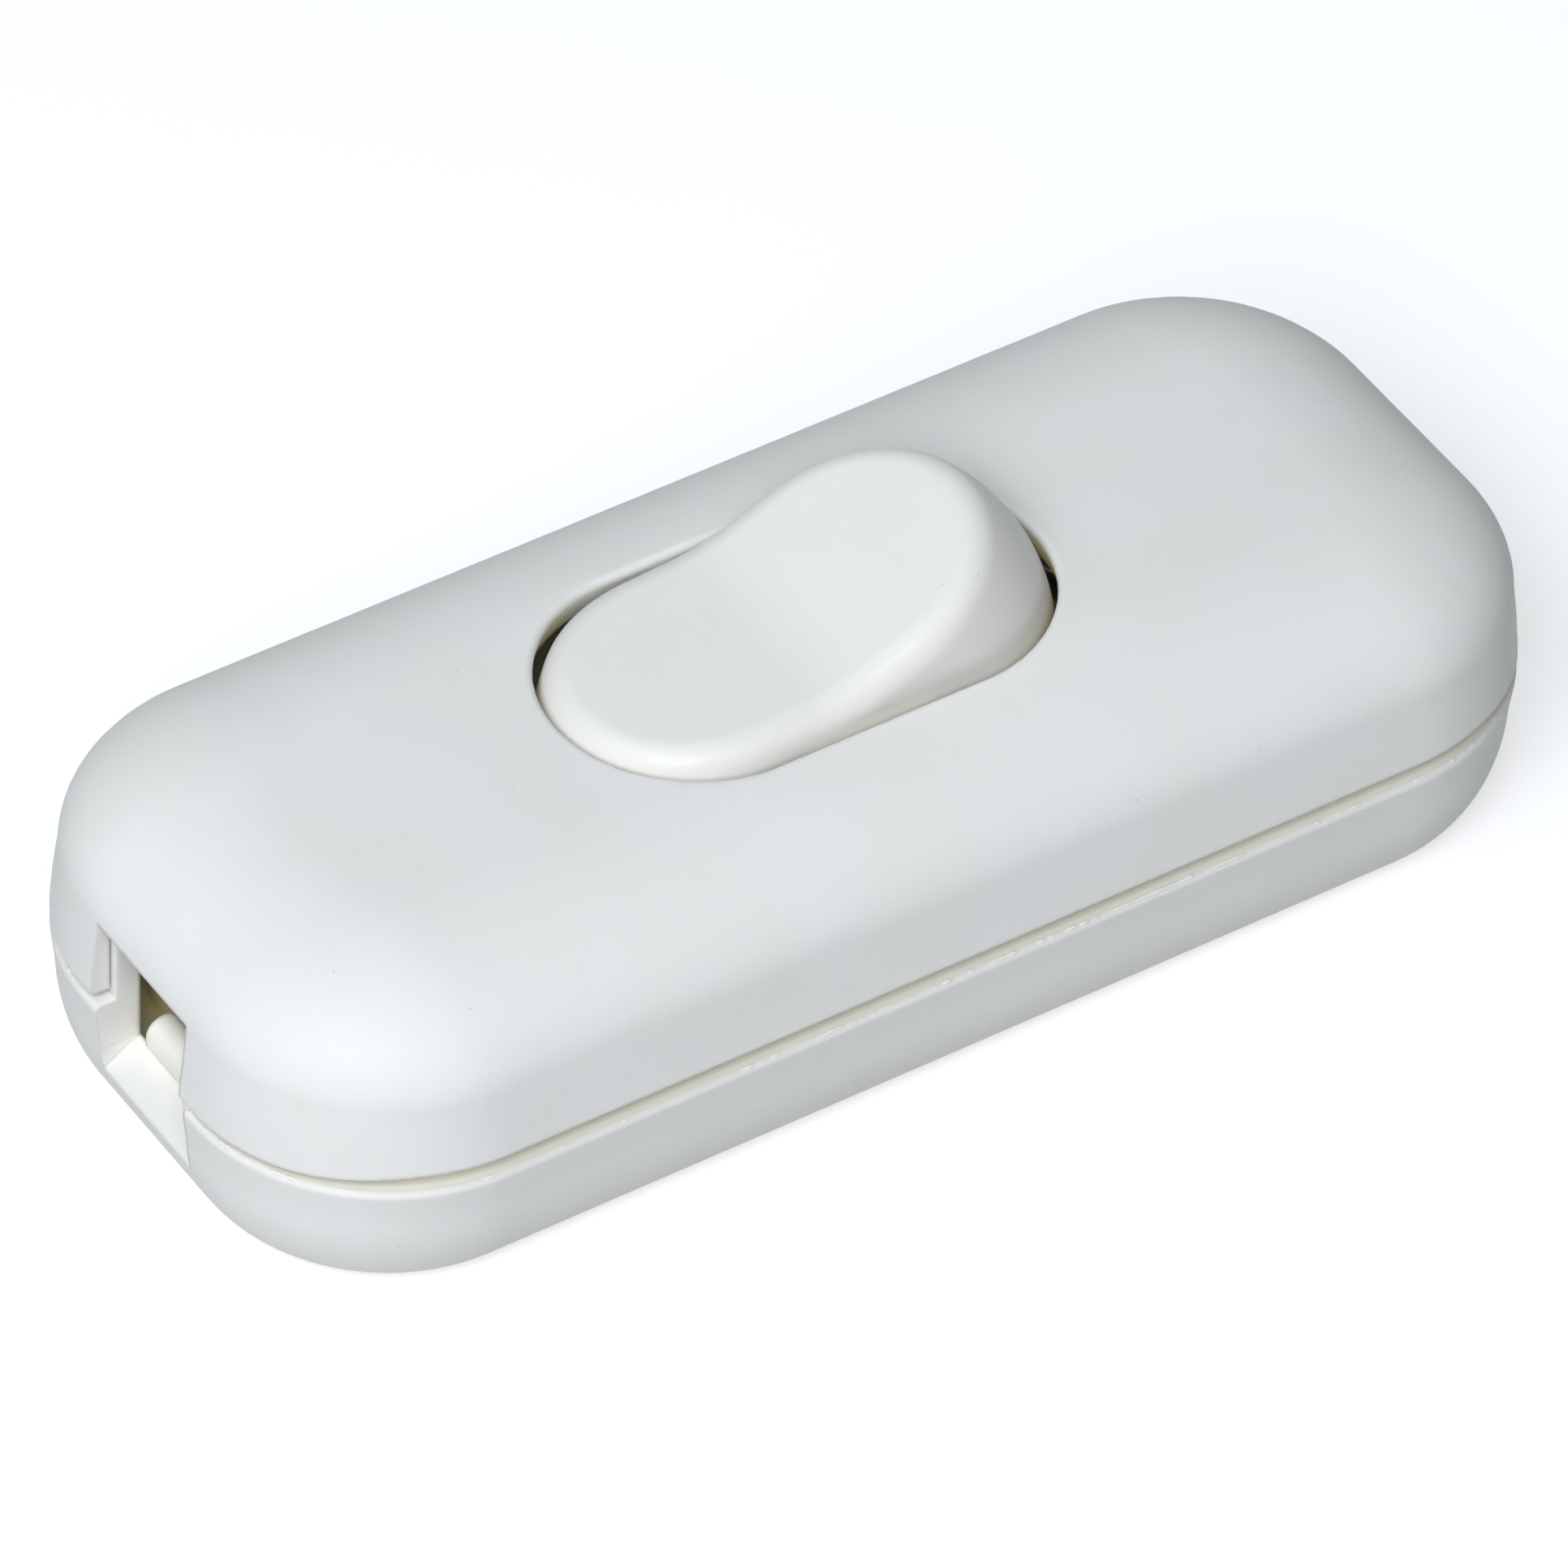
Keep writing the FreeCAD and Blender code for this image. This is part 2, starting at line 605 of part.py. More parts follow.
for end, sign in ENDS:
    case_x = "%d * %s" % (sign, CASE_REACH)
    case_y = "%d * %s" % (-sign, CASE_SHIFT)
    boss = new_sketch(cover, "boss_" + end, "XY_Plane", "post_top")
    circle(boss, case_x, case_y, "boss_diameter")
    pad(cover, "screw_boss_" + end, boss, COVER_TOP + " - roof_thickness / 2 - post_top")
    thread = new_sketch(cover, "thread_" + end, "XY_Plane", "post_top")
    circle(thread, case_x, case_y, "case_thread + 2 * screw_clearance")
    grip = "case_shank - (post_top - seat_depth) + thread_runout"
    pocket(cover, "screw_hole_" + end, thread, grip, True)

    middle = "(%d * notch_shift)" % sign
    outer = "%d * (body_length / 2 + cut_margin)" % sign
    notch = new_sketch(cover, "notch_" + end, "YZ_Plane", outer)
    rectangle(
        notch,
        middle + " - notch_width / 2",
        middle + " + notch_width / 2",
        COVER_EDGE + " - cut_margin",
        COVER_EDGE + " + notch_rise",
    )
    pocket(cover, "notch_cut_" + end, notch, "wall_thickness + 2 * cut_margin", sign < 0)

    slot_near = "(%d * (trough_width / 2 - trough_shift - cheek_clearance))" % -sign
    slot_far = "(%s + %d * (cheek_width + 2 * cheek_clearance))" % (slot_near, -sign)
    slot_out = "(%d * (body_length / 2 - lip_setback + lip_clearance))" % sign
    slot_in = "(%d * (body_length / 2 - wall_thickness - cut_margin))" % sign
    slot = new_sketch(cover, "cheek_slot_" + end, "XY_Plane", COVER_EDGE)
    rectangle(slot, slot_out, slot_in, slot_near, slot_far)
    slot_height = CHEEK_TOP + " + lip_headroom - base_height - reveal_gap"
    pocket(cover, "cheek_room_" + end, slot, slot_height, True)

# rocker: a slice of a round-rimmed wheel turned about the pivot axis
rocker = new_body("rocker")
rim = new_sketch(rocker, "rim_profile", "XY_Plane")
half_now = SIZES["opening_width"] / 2 - SIZES["rocker_gap"]
reach_now = math.hypot(SIZES["opening_length"] / 2 - SIZES["rocker_gap"], SIZES["pivot_depth"])
hub_now = reach_now - half_now
drawn = [(hub_now, half_now), (0, half_now), (0, -half_now), (hub_now, -half_now)]
spots = [FreeCAD.Vector(across, along, 0) for across, along in drawn]
for k in range(3):
    rim.addGeometry(Part.LineSegment(spots[k], spots[k + 1]), False)
ring = Part.Circle(FreeCAD.Vector(hub_now, 0, 0), FreeCAD.Vector(0, 0, 1), half_now)
rim.addGeometry(Part.ArcOfCircle(ring, -math.pi / 2, math.pi / 2), False)
rim.addConstraint(Sketcher.Constraint("Coincident", 0, 2, 1, 1))
rim.addConstraint(Sketcher.Constraint("Coincident", 1, 2, 2, 1))
rim.addConstraint(Sketcher.Constraint("Tangent", 2, 2, 3, 1))
rim.addConstraint(Sketcher.Constraint("Tangent", 3, 2, 0, 1))
pin_point(rim, 1, 1, "0", ROCKER_HALF)
pin_point(rim, 1, 2, "0", "-" + ROCKER_HALF)
rim.addConstraint(Sketcher.Constraint("Horizontal", 0))
add_dimension(rim, "DistanceX", -1, 1, 3, 3, "%s - %s" % (ROCKER_RADIUS, ROCKER_HALF))
wheel = rocker.newObject("PartDesign::Revolution", "rocker_wheel")
wheel.Profile = rim
wheel.ReferenceAxis = (rim, ["V_Axis"])
wheel.Angle = 360.0
doc.recompute()

valley = PLATEAU + " / cos(vee_angle)"
wing_x = "(%s + cut_margin)" % ROCKER_RADIUS
wing_z = "(%s + %s * tan(vee_angle))" % (valley, wing_x)
sky = "(%s + cut_margin)" % ROCKER_RADIUS
top = new_sketch(rocker, "top_profile", "XZ_Plane")
polygon(
    top,
    [
        ("-" + wing_x, wing_z),
        ("0", valley),
        (wing_x, wing_z),
        (wing_x, sky),
        ("-" + wing_x, sky),
    ],
)
pocket(rocker, "rocker_top", top, "opening_width", False, True)
under = new_sketch(rocker, "under_profile", "XZ_Plane")
rectangle(under, "-" + wing_x, wing_x, "-" + sky, "-skirt_drop")
trimmed = pocket(rocker, "rocker_underside", under, "opening_width", False, True)
valley_now = (SIZES["pivot_depth"] + SIZES["rocker_proud"]) / math.cos(
    math.radians(SIZES["vee_angle"])
)
fold = edge_names(trimmed.Shape, at_level(valley_now))
creased = round_edges(rocker, "rocker_valley", trimmed, fold, "valley_radius")


def faces_up(face):
    low, high, near, far = face.ParameterRange
    return face.normalAt((low + high) / 2, (near + far) / 2).z > 0.9


upward = [face for face in creased.Shape.Faces if faces_up(face)]


def on_outline(edge):
    return sum(1 for face in upward for side in face.Edges if side.isSame(edge)) == 1


rim_edges = edge_names(creased.Shape, on_outline)
rounded = round_edges(rocker, "rocker_edge", creased, rim_edges, "edge_round")

pins = new_sketch(rocker, "pin_section", "XZ_Plane")
circle(pins, "0", "0", "pin_diameter")
pad(rocker, "rocker_pins", pins, "2 * (%s - pin_inset)" % BEARING_OUT, False, True)
inside = new_sketch(rocker, "hollow_profile", "XZ_Plane")
ceiling = "(%s - rocker_roof)" % valley
eave = "(%s + hollow_length / 2 * tan(vee_angle))" % ceiling
polygon(
    inside,
    [
        ("-hollow_length / 2", "-skirt_drop - cut_margin"),
        ("hollow_length / 2", "-skirt_drop - cut_margin"),
        ("hollow_length / 2", eave),
        ("0", ceiling),
        ("-hollow_length / 2", eave),
    ],
)
pocket(rocker, "rocker_hollow", inside, "2 * (%s - rocker_wall)" % ROCKER_HALF, False, True)
sleeve = new_sketch(rocker, "sleeve_section", "XY_Plane", "-sleeve_drop")
circle(sleeve, "0", "0", "sleeve_diameter")
pad(rocker, "plunger_sleeve", sleeve, "sleeve_drop + %s - rocker_roof / 2" % PLATEAU)
bore = new_sketch(rocker, "bore_section", "XY_Plane", "-sleeve_drop")
circle(bore, "0", "0", "bore_diameter")
pocket(rocker, "plunger_bore", bore, "sleeve_drop + bore_rise", True)


def hang_on_pivot(item):
    """Set a piece drawn about the pivot axis into the rocker's rest position."""
    item.Placement = FreeCAD.Placement(
        FreeCAD.Vector(0, 0, 1), FreeCAD.Rotation(FreeCAD.Vector(0, 1, 0), -1)
    )
    bind(item, "Placement.Base.z", PIVOT_LEVEL)
    bind(item, "Placement.Rotation.Angle", "-rest_tilt")


hang_on_pivot(rocker)


def turn_profile(body, name, corners):
    """Solid of revolution about the local Z axis from a half section."""
    section = new_sketch(body, name + "_section", "XZ_Plane")
    polygon(section, corners)
    feature = body.newObject("PartDesign::Revolution", name)
    feature.Profile = section
    feature.ReferenceAxis = (section, ["V_Axis"])
    feature.Angle = 360.0
    doc.recompute()
    return feature


# plunger and its spring, in the bore of the rocker
plunger = new_body("plunger")
plunger_top = "(plunger_length - %s)" % NOSE_LEVEL
barrel = "(bore_diameter / 2 - plunger_slack)"
peg = turn_profile(
    plunger,
    "plunger_peg",
    [
        ("0", "-" + NOSE_LEVEL),
        ("plunger_nose / 2", "-" + NOSE_LEVEL),
        (barrel, "nose_length - " + NOSE_LEVEL),
        (barrel, plunger_top),
        ("0", plunger_top),
    ],
)
nose_now = min(vertex.Z for vertex in peg.Shape.Vertexes)
nose_edge = edge_names(peg.Shape, at_level(nose_now))
round_edges(plunger, "plunger_tip", peg, nose_edge, "nose_round")
hang_on_pivot(plunger)

spring_foot = "(%s + spring_seat)" % plunger_top
spring_span = "(bore_rise - %s)" % spring_foot
coil_radius = "(bore_diameter / 2 - spring_slack - wire_diameter / 2)"
helix = doc.addObject("Part::Helix", "spring_path")
bind(helix, "Radius", coil_radius)
bind(helix, "Height", spring_span + " - wire_diameter")
bind(helix, "Pitch", "(%s - wire_diameter) / spring_turns" % spring_span)
bind(helix, "Placement.Base.z", spring_foot + " + wire_diameter / 2")
wire = doc.addObject("Part::Circle", "spring_wire")
bind(wire, "Radius", "wire_diameter / 2")
wire.Placement = FreeCAD.Placement(
    FreeCAD.Vector(1, 0, 1), FreeCAD.Rotation(FreeCAD.Vector(1, 0, 0), 90)
)
bind(wire, "Placement.Base.x", coil_radius)
bind(wire, "Placement.Base.z", spring_foot + " + wire_diameter / 2")
spring = doc.addObject("Part::Sweep", "plunger_spring")
spring.Label = "plunger_spring"
spring.Sections = [wire]
spring.Spine = (helix, [])
spring.Solid = True
spring.Frenet = True
hang_on_pivot(spring)
nodes.append(spring)
doc.recompute()

# see-saw contact: a shallow vee strip on trunnions
seesaw = new_body("contact_seesaw")
strip = new_sketch(seesaw, "strip_profile", "XZ_Plane")
tip_z = "seesaw_arm * tan(seesaw_tilt)"
half_skin = "seesaw_thickness / 2 / cos(seesaw_tilt)"
polygon(
    strip,
    [
        ("-seesaw_arm", "%s - %s" % (tip_z, half_skin)),
        ("0", "-" + half_skin),
        ("seesaw_arm", "%s - %s" % (tip_z, half_skin)),
        ("seesaw_arm", "%s + %s" % (tip_z, half_skin)),
        ("0", half_skin),
        ("-seesaw_arm", "%s + %s" % (tip_z, half_skin)),
    ],
)
pad(seesaw, "seesaw_strip", strip, "seesaw_width", False, True)
axle = new_sketch(seesaw, "trunnion_section", "XZ_Plane")
circle(axle, "0", "0", "trunnion_diameter")
pad(seesaw, "seesaw_trunnions", axle, "fork_inside + 2 * fork_thickness", False, True)
seesaw.Placement = FreeCAD.Placement(
    FreeCAD.Vector(0, 0, 1), FreeCAD.Rotation(FreeCAD.Vector(0, 1, 0), 1)
)
bind(seesaw, "Placement.Base.z", AXLE_LEVEL)
bind(seesaw, "Placement.Rotation.Angle", "seesaw_tilt")


def contact_button(label, thickness):
    """Contact disc with a rounded working edge, drawn from its seat upwards."""
    body = new_body(label)
    disc = turn_profile(
        body,
        label + "_disc",
        [
            ("0", "0"),
            ("button_diameter / 2", "0"),
            ("button_diameter / 2", thickness),
            ("0", thickness),
        ],
    )
    work_edge = edge_names(disc.Shape, at_level(SIZES[thickness]))
    round_edges(body, label + "_edge", disc, work_edge, "button_round")
    return body


fixed = contact_button("fixed_contact", "fixed_button")
bind(fixed, "Placement.Base.x", "-button_reach")
bind(fixed, "Placement.Base.z", STRAP_TOP)
moving = contact_button("moving_contact", "moving_button")
moving.Placement = FreeCAD.Placement(
    FreeCAD.Vector(1, 0, 1), FreeCAD.Rotation(FreeCAD.Vector(0, 1, 0), 179)
)
swing = "2 * seesaw_tilt"
bind(
    moving,
    "Placement.Base.x",
    "-button_reach * cos(%s) - seesaw_thickness / 2 * sin(%s)" % (swing, swing),
)
bind(
    moving,
    "Placement.Base.z",
    "%s + button_reach * sin(%s) - seesaw_thickness / 2 * cos(%s)" % (AXLE_LEVEL, swing, swing),
)
bind(moving, "Placement.Rotation.Angle", "180 + " + swing)

# straps and terminals
block_in = "(%s - block_size / 2)" % TERMINAL_REACH
block_out = "(%s + block_size / 2)" % TERMINAL_REACH

line = new_body("line_strap")
blank = new_sketch(line, "line_blank", "XY_Plane", "floor_thickness")
neck = "(button_reach + strap_width)"
pad_end = "(button_reach - strap_width / 2)"
polygon(
    blank,
    [
        ("-" + block_out, "-" + BLOCK_FAR),
        ("-" + block_in, "-" + BLOCK_FAR),
        ("-" + neck, "-strap_width / 2"),
        ("-" + pad_end, "-strap_width / 2"),
        ("-" + pad_end, "strap_width / 2"),
        ("-" + neck, "strap_width / 2"),
        ("-" + block_in, "-" + BLOCK_NEAR),
        ("-" + block_out, "-" + BLOCK_NEAR),
    ],
)
pad(line, "line_plate", blank, "strap_thickness")

load = new_body("load_strap")
blank = new_sketch(load, "load_blank", "XY_Plane", "floor_thickness")
fork_out = "(fork_inside / 2 + fork_thickness)"
polygon(
    blank,
    [
        (block_out, BLOCK_FAR),
        (block_in, BLOCK_FAR),
        (neck, fork_out),
        ("-fork_width / 2", fork_out),
        ("-fork_width / 2", "-" + fork_out),
        ("fork_width / 2", "-" + fork_out),
        ("fork_width / 2", BLOCK_NEAR),
        (block_out, BLOCK_NEAR),
    ],
)
pad(load, "load_plate", blank, "strap_thickness")
fork = new_sketch(load, "fork_side", "XZ_Plane")
rectangle(
    fork, "-fork_width / 2", "fork_width / 2", "floor_thickness", AXLE_LEVEL + " + fork_rise"
)
pad(load, "load_fork", fork, "2 * " + fork_out, False, True)
gap = new_sketch(load, "fork_gap", "XZ_Plane")
rectangle(
    gap,
    "-fork_width / 2 - cut_margin",
    "fork_width / 2 + cut_margin",
    STRAP_TOP,
    AXLE_LEVEL + " + fork_rise + cut_margin",
)
pocket(load, "fork_clearance", gap, "fork_inside", False, True)
cradle = new_sketch(load, "cradle_round", "XZ_Plane")
circle(cradle, "0", AXLE_LEVEL, "trunnion_diameter + 2 * trunnion_clearance")
pocket(load, "fork_cradles", cradle, "2 * %s + cut_margin" % fork_out, False, True)
mouth = new_sketch(load, "cradle_mouth", "XZ_Plane")
rectangle(
    mouth,
    "-trunnion_diameter / 2 - trunnion_clearance",
    "trunnion_diameter / 2 + trunnion_clearance",
    AXLE_LEVEL,
    AXLE_LEVEL + " + fork_rise + cut_margin",
)
pocket(load, "fork_mouths", mouth, "2 * %s + cut_margin" % fork_out, False, True)

neutral = new_body("neutral_link")
blank = new_sketch(neutral, "neutral_blank", "XY_Plane", "floor_thickness")
rectangle(
    blank,
    "-%s - block_size / 2" % NEUTRAL_REACH,
    NEUTRAL_REACH + " + block_size / 2",
    NEUTRAL_SHIFT + " - neutral_width / 2",
    NEUTRAL_SHIFT + " + neutral_width / 2",
)
pad(neutral, "neutral_plate", blank, "strap_thickness")

TERMINALS = (
    ("line_block", "-" + TERMINAL_REACH, "-" + TERMINAL_SHIFT),
    ("load_block", TERMINAL_REACH, TERMINAL_SHIFT),
    ("neutral_block_left", "-" + NEUTRAL_REACH, NEUTRAL_SHIFT),
    ("neutral_block_right", NEUTRAL_REACH, NEUTRAL_SHIFT),
)
for label, along, across in TERMINALS:
    block = new_body(label)
    foot = new_sketch(block, label + "_foot", "XY_Plane")
    half_block = "block_size / 2"
    rectangle(foot, "-" + half_block, half_block, "-" + half_block, half_block)
    cube = pad(block, label + "_cube", foot, "block_height")
    rim_edges = edge_names(cube.Shape, at_level(SIZES["block_height"]))
    bevel = block.newObject("PartDesign::Chamfer", label + "_bevel")
    bevel.Base = (cube, rim_edges)
    bind(bevel, "Size", "block_chamfer")
    doc.recompute()
    entry = new_sketch(block, label + "_entry", "YZ_Plane", "-block_size / 2 - cut_margin")
    circle(entry, "0", "wire_level", "wire_bore")
    pocket(block, label + "_wire_bore", entry, "block_size + 2 * cut_margin", True)
    tapped = new_sketch(block, label + "_tapped", "XY_Plane", "block_height")
    circle(tapped, "0", "0", "terminal_thread + 2 * screw_clearance")
    pocket(block, label + "_screw_hole", tapped, "block_height - wire_level")
    bind(block, "Placement.Base.x", along)
    bind(block, "Placement.Base.y", across)
    bind(block, "Placement.Base.z", STRAP_TOP)

# cord clamps: arched bars over the cord, a screw in each foot
for end, sign in ENDS:
    clamp = new_body("cord_clamp_" + end)
    arch = new_sketch(clamp, "arch_" + end, "YZ_Plane")
    inner = "(arch_width / 2)"
    outer_arch = "(arch_width / 2 + clamp_thickness / 2)"
    polygon(
        arch,
        [
            ("-%s / 2" % CLAMP_SPAN, "0"),
            ("-%s - arch_slope" % inner, "0"),
            ("-" + inner, "arch_rise"),
            (inner, "arch_rise"),
            ("%s + arch_slope" % inner, "0"),
            (CLAMP_SPAN + " / 2", "0"),
            (CLAMP_SPAN + " / 2", "clamp_thickness"),
            ("%s + arch_slope" % outer_arch, "clamp_thickness"),
            (outer_arch, "arch_rise + clamp_thickness"),
            ("-" + outer_arch, "arch_rise + clamp_thickness"),
            ("-%s - arch_slope" % outer_arch, "clamp_thickness"),
            ("-%s / 2" % CLAMP_SPAN, "clamp_thickness"),
        ],
    )
    pad(clamp, "arch_bar_" + end, arch, "clamp_width", False, True)
    holes = new_sketch(clamp, "clamp_holes_" + end, "XY_Plane", "clamp_thickness + cut_margin")
    for side in (-1, 1):
        across = "%d * %s / 2" % (side, CLAMP_PITCH)
        circle(holes, "0", across, "clamp_thread + 2 * case_clearance")
    pocket(clamp, "clamp_ways_" + end, holes, "clamp_thickness + 2 * cut_margin")
    bind(clamp, "Placement.Base.x", "%d * %s" % (sign, CLAMP_REACH))
    bind(clamp, "Placement.Base.y", "%d * trough_shift" % sign)
    bind(clamp, "Placement.Base.z", "pillar_top")


def screw(label, thread, shank, head, head_height):
    """Cheese-head screw along local Z: the head stands above z = 0, the shank hangs below."""
    body = doc.addObject("PartDesign::Body", label)
    body.Label = label
    turn_profile(
        body,
        label + "_turned",
        [
            ("0", "-" + shank),
            ("%s / 2 - tip_chamfer" % thread, "-" + shank),
            ("%s / 2" % thread, "tip_chamfer - " + shank),
            ("%s / 2" % thread, "0"),
            ("%s / 2" % head, "0"),
            ("%s / 2" % head, head_height),
            ("0", head_height),
        ],
    )
    slot = new_sketch(body, label + "_slot", "XZ_Plane")
    rectangle(
        slot,
        "-slot_width / 2",
        "slot_width / 2",
        head_height + " - slot_depth",
        head_height + " + cut_margin",
    )
    pocket(body, label + "_drive", slot, "2 * " + head, False, True)
    return body


def screw_group(label, screws):
    group = doc.addObject("Part::Compound", label)
    group.Label = label
    group.Links = screws
    nodes.append(group)


terminal_set = []
for label, along, across in TERMINALS:
    item = screw(
        label + "_screw",
        "terminal_thread",
        "terminal_shank",
        "terminal_head",
        "terminal_head_height",
    )
    bind(item, "Placement.Base.x", along)
    bind(item, "Placement.Base.y", across)
    bind(item, "Placement.Base.z", BLOCK_TOP)
    terminal_set.append(item)
screw_group("terminal_screws", terminal_set)

clamp_set = []
case_set = []
for end, sign in ENDS:
    for side in (-1, 1):
        mark = "%s_%s" % (end, "front" if side < 0 else "back")
        item = screw(
            "clamp_screw_" + mark, "clamp_thread", "clamp_shank", "clamp_head", "clamp_head_height"
        )
        bind(item, "Placement.Base.x", "%d * %s" % (sign, CLAMP_REACH))
        across = "%d * trough_shift + %d * %s / 2" % (sign, side, CLAMP_PITCH)
        bind(item, "Placement.Base.y", across)
        bind(item, "Placement.Base.z", "pillar_top + clamp_thickness")
        clamp_set.append(item)
    item = screw("case_screw_" + end, "case_thread", "case_shank", "case_head", "case_head_height")
    item.Placement = FreeCAD.Placement(
        FreeCAD.Vector(1, 1, 1), FreeCAD.Rotation(FreeCAD.Vector(1, 0, 0), 180)
    )
    bind(item, "Placement.Base.x", "%d * %s" % (sign, CASE_REACH))
    bind(item, "Placement.Base.y", "%d * %s" % (-sign, CASE_SHIFT))
    bind(item, "Placement.Base.z", "seat_depth")
    case_set.append(item)
screw_group("clamp_screws", clamp_set)
screw_group("case_screws", case_set)

doc.recompute()
for item in doc.Objects:
    if "Invalid" in item.State or "Error" in item.State:
        raise RuntimeError("%s did not build" % item.Label)
for node in nodes:
    if node.Shape.isNull() or not node.Shape.isValid():
        raise RuntimeError("%s has no valid shape" % node.Label)

os.makedirs("parts", exist_ok=True)
for node in nodes:
    node.Shape.exportStep("parts/%s.step" % node.Label)
    print("%-22s %d solid(s) %9.1f mm3" % (node.Label, len(node.Shape.Solids), node.Shape.Volume))
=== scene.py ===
# %% [markdown]
# # A white inline cord switch
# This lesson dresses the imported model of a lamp-lead switch: two moulded shells that meet
# in a shadow groove, a polished see-saw rocker, and the brass and screws inside.
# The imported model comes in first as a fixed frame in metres. Every finish and every added
# piece uses its coordinates, and takes its sizes from it where it can.

# %% Load the frame
import json
import math

import bmesh
import bpy
from mathutils import Matrix, Vector


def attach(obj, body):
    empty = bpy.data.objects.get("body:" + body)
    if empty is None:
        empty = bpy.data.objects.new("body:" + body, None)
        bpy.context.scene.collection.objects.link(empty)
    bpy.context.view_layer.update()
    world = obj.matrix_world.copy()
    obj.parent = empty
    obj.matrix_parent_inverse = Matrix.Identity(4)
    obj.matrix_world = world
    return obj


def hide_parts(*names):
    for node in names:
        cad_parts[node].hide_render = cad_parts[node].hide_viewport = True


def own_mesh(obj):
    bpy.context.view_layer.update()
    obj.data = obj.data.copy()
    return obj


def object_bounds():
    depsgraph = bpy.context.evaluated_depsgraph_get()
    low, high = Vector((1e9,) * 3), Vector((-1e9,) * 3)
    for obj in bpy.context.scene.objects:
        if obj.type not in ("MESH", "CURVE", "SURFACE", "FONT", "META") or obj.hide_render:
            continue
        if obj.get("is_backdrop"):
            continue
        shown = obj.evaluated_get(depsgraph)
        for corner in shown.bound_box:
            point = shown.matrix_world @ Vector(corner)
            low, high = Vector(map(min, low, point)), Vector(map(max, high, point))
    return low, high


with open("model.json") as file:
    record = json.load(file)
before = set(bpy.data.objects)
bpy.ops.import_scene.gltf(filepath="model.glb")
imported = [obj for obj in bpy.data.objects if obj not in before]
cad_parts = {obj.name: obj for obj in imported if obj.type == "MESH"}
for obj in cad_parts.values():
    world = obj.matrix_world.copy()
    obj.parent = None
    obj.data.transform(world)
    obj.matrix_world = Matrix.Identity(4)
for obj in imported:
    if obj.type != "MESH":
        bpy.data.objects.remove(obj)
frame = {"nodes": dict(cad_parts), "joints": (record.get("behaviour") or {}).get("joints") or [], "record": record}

CAD_LOW, CAD_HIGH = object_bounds()
MM = 0.001
print("nodes:", len(frame["nodes"]), "size in mm:", [round(v / MM, 2) for v in CAD_HIGH - CAD_LOW])

# %% [markdown]
# ## Writing node trees as sums
# Material and geometry nodes are usually wired by hand, and a long chain of Math nodes soon
# becomes hard to read. Here one small class stands for a wire, and its operators add the Math
# nodes, so a mask can be written as `1 - mask`. A second class holds the tree, and its one
# method makes any other node: first its settings, then the values or wires of its sockets.


# %% Wires and trees
class Wire:
    """An output socket that can be used in sums."""

    def __init__(self, tree, socket):
        self.tree = tree
        self.socket = socket

    def out(self, name):
        """Another output of the node that this wire comes from."""
        return Wire(self.tree, self.socket.node.outputs[name])

    def maths(self, operation, first, second=0.0):
        """A Math node on two wires or numbers."""
        return self.tree.node("ShaderNodeMath", {"operation": operation}, {0: first, 1: second})

    def __add__(self, other):
        return self.maths("ADD", self, other)

    def __radd__(self, other):
        return self.maths("ADD", other, self)

    def __sub__(self, other):
        return self.maths("SUBTRACT", self, other)

    def __rsub__(self, other):
        return self.maths("SUBTRACT", other, self)

    def __mul__(self, other):
        return self.maths("MULTIPLY", self, other)

    def __rmul__(self, other):
        return self.maths("MULTIPLY", other, self)

    def __truediv__(self, other):
        return self.maths("DIVIDE", self, other)

    def __rtruediv__(self, other):
        return self.maths("DIVIDE", other, self)

    def __lt__(self, other):
        return self.maths("LESS_THAN", self, other)

    def __gt__(self, other):
        return self.maths("GREATER_THAN", self, other)

    def step(self, low, high):
        """0 below low, 1 above high, and a smooth rise between them."""
        span = {"interpolation_type": "SMOOTHSTEP"}
        ends = {"Value": self, "From Min": low, "From Max": high}
        return self.tree.node("ShaderNodeMapRange", span, ends)


class Tree:
    """A node tree, with one method that adds any node."""

    def __init__(self, nodes):
        self.nodes = nodes

    def node(self, kind, settings=None, sockets=None, output=0):
        """Add a node with its settings and then its sockets, and hand out one of its outputs."""
        made = self.nodes.nodes.new(kind)
        for name, value in (settings or {}).items():
            setattr(made, name, value)
        for name, value in (sockets or {}).items():
            if isinstance(value, (Wire, list)):
                for wire in value if isinstance(value, list) else [value]:
                    self.nodes.links.new(wire.socket, made.inputs[name])
            else:
                made.inputs[name].default_value = value
        return Wire(self, made.outputs[output]) if made.outputs else made

    def mix(self, share, first, second):
        """A colour between two, which may be wires or plain colours."""
        ends = [end if isinstance(end, Wire) else (*end, 1) for end in (first, second)]
        sockets = {"Factor": share, "A": ends[0], "B": ends[1]}
        return self.node("ShaderNodeMix", {"data_type": "RGBA"}, sockets, output="Result")


print("a wire can be added, taken off, multiplied, divided and compared")

# %% [markdown]
# ## Starting and ending a tree
# Every material here starts from a shader and the place on the piece in metres. Every tree that
# makes a piece has named inputs, so its sizes can be changed where it is used, and ends by making
# its instances real and giving them their material. A few small functions do this, so the later
# cells show only what is special about a piece.


# %% Start and end trees
def new_material(name):
    """An empty material: its tree, its shader's inputs and the place on the piece in metres."""
    material = bpy.data.materials.new(name)
    material.use_nodes = True
    tree = Tree(material.node_tree)
    shader = material.node_tree.nodes["Principled BSDF"]
    place = tree.node("ShaderNodeTexCoord", output="Object")
    return material, tree, shader, place


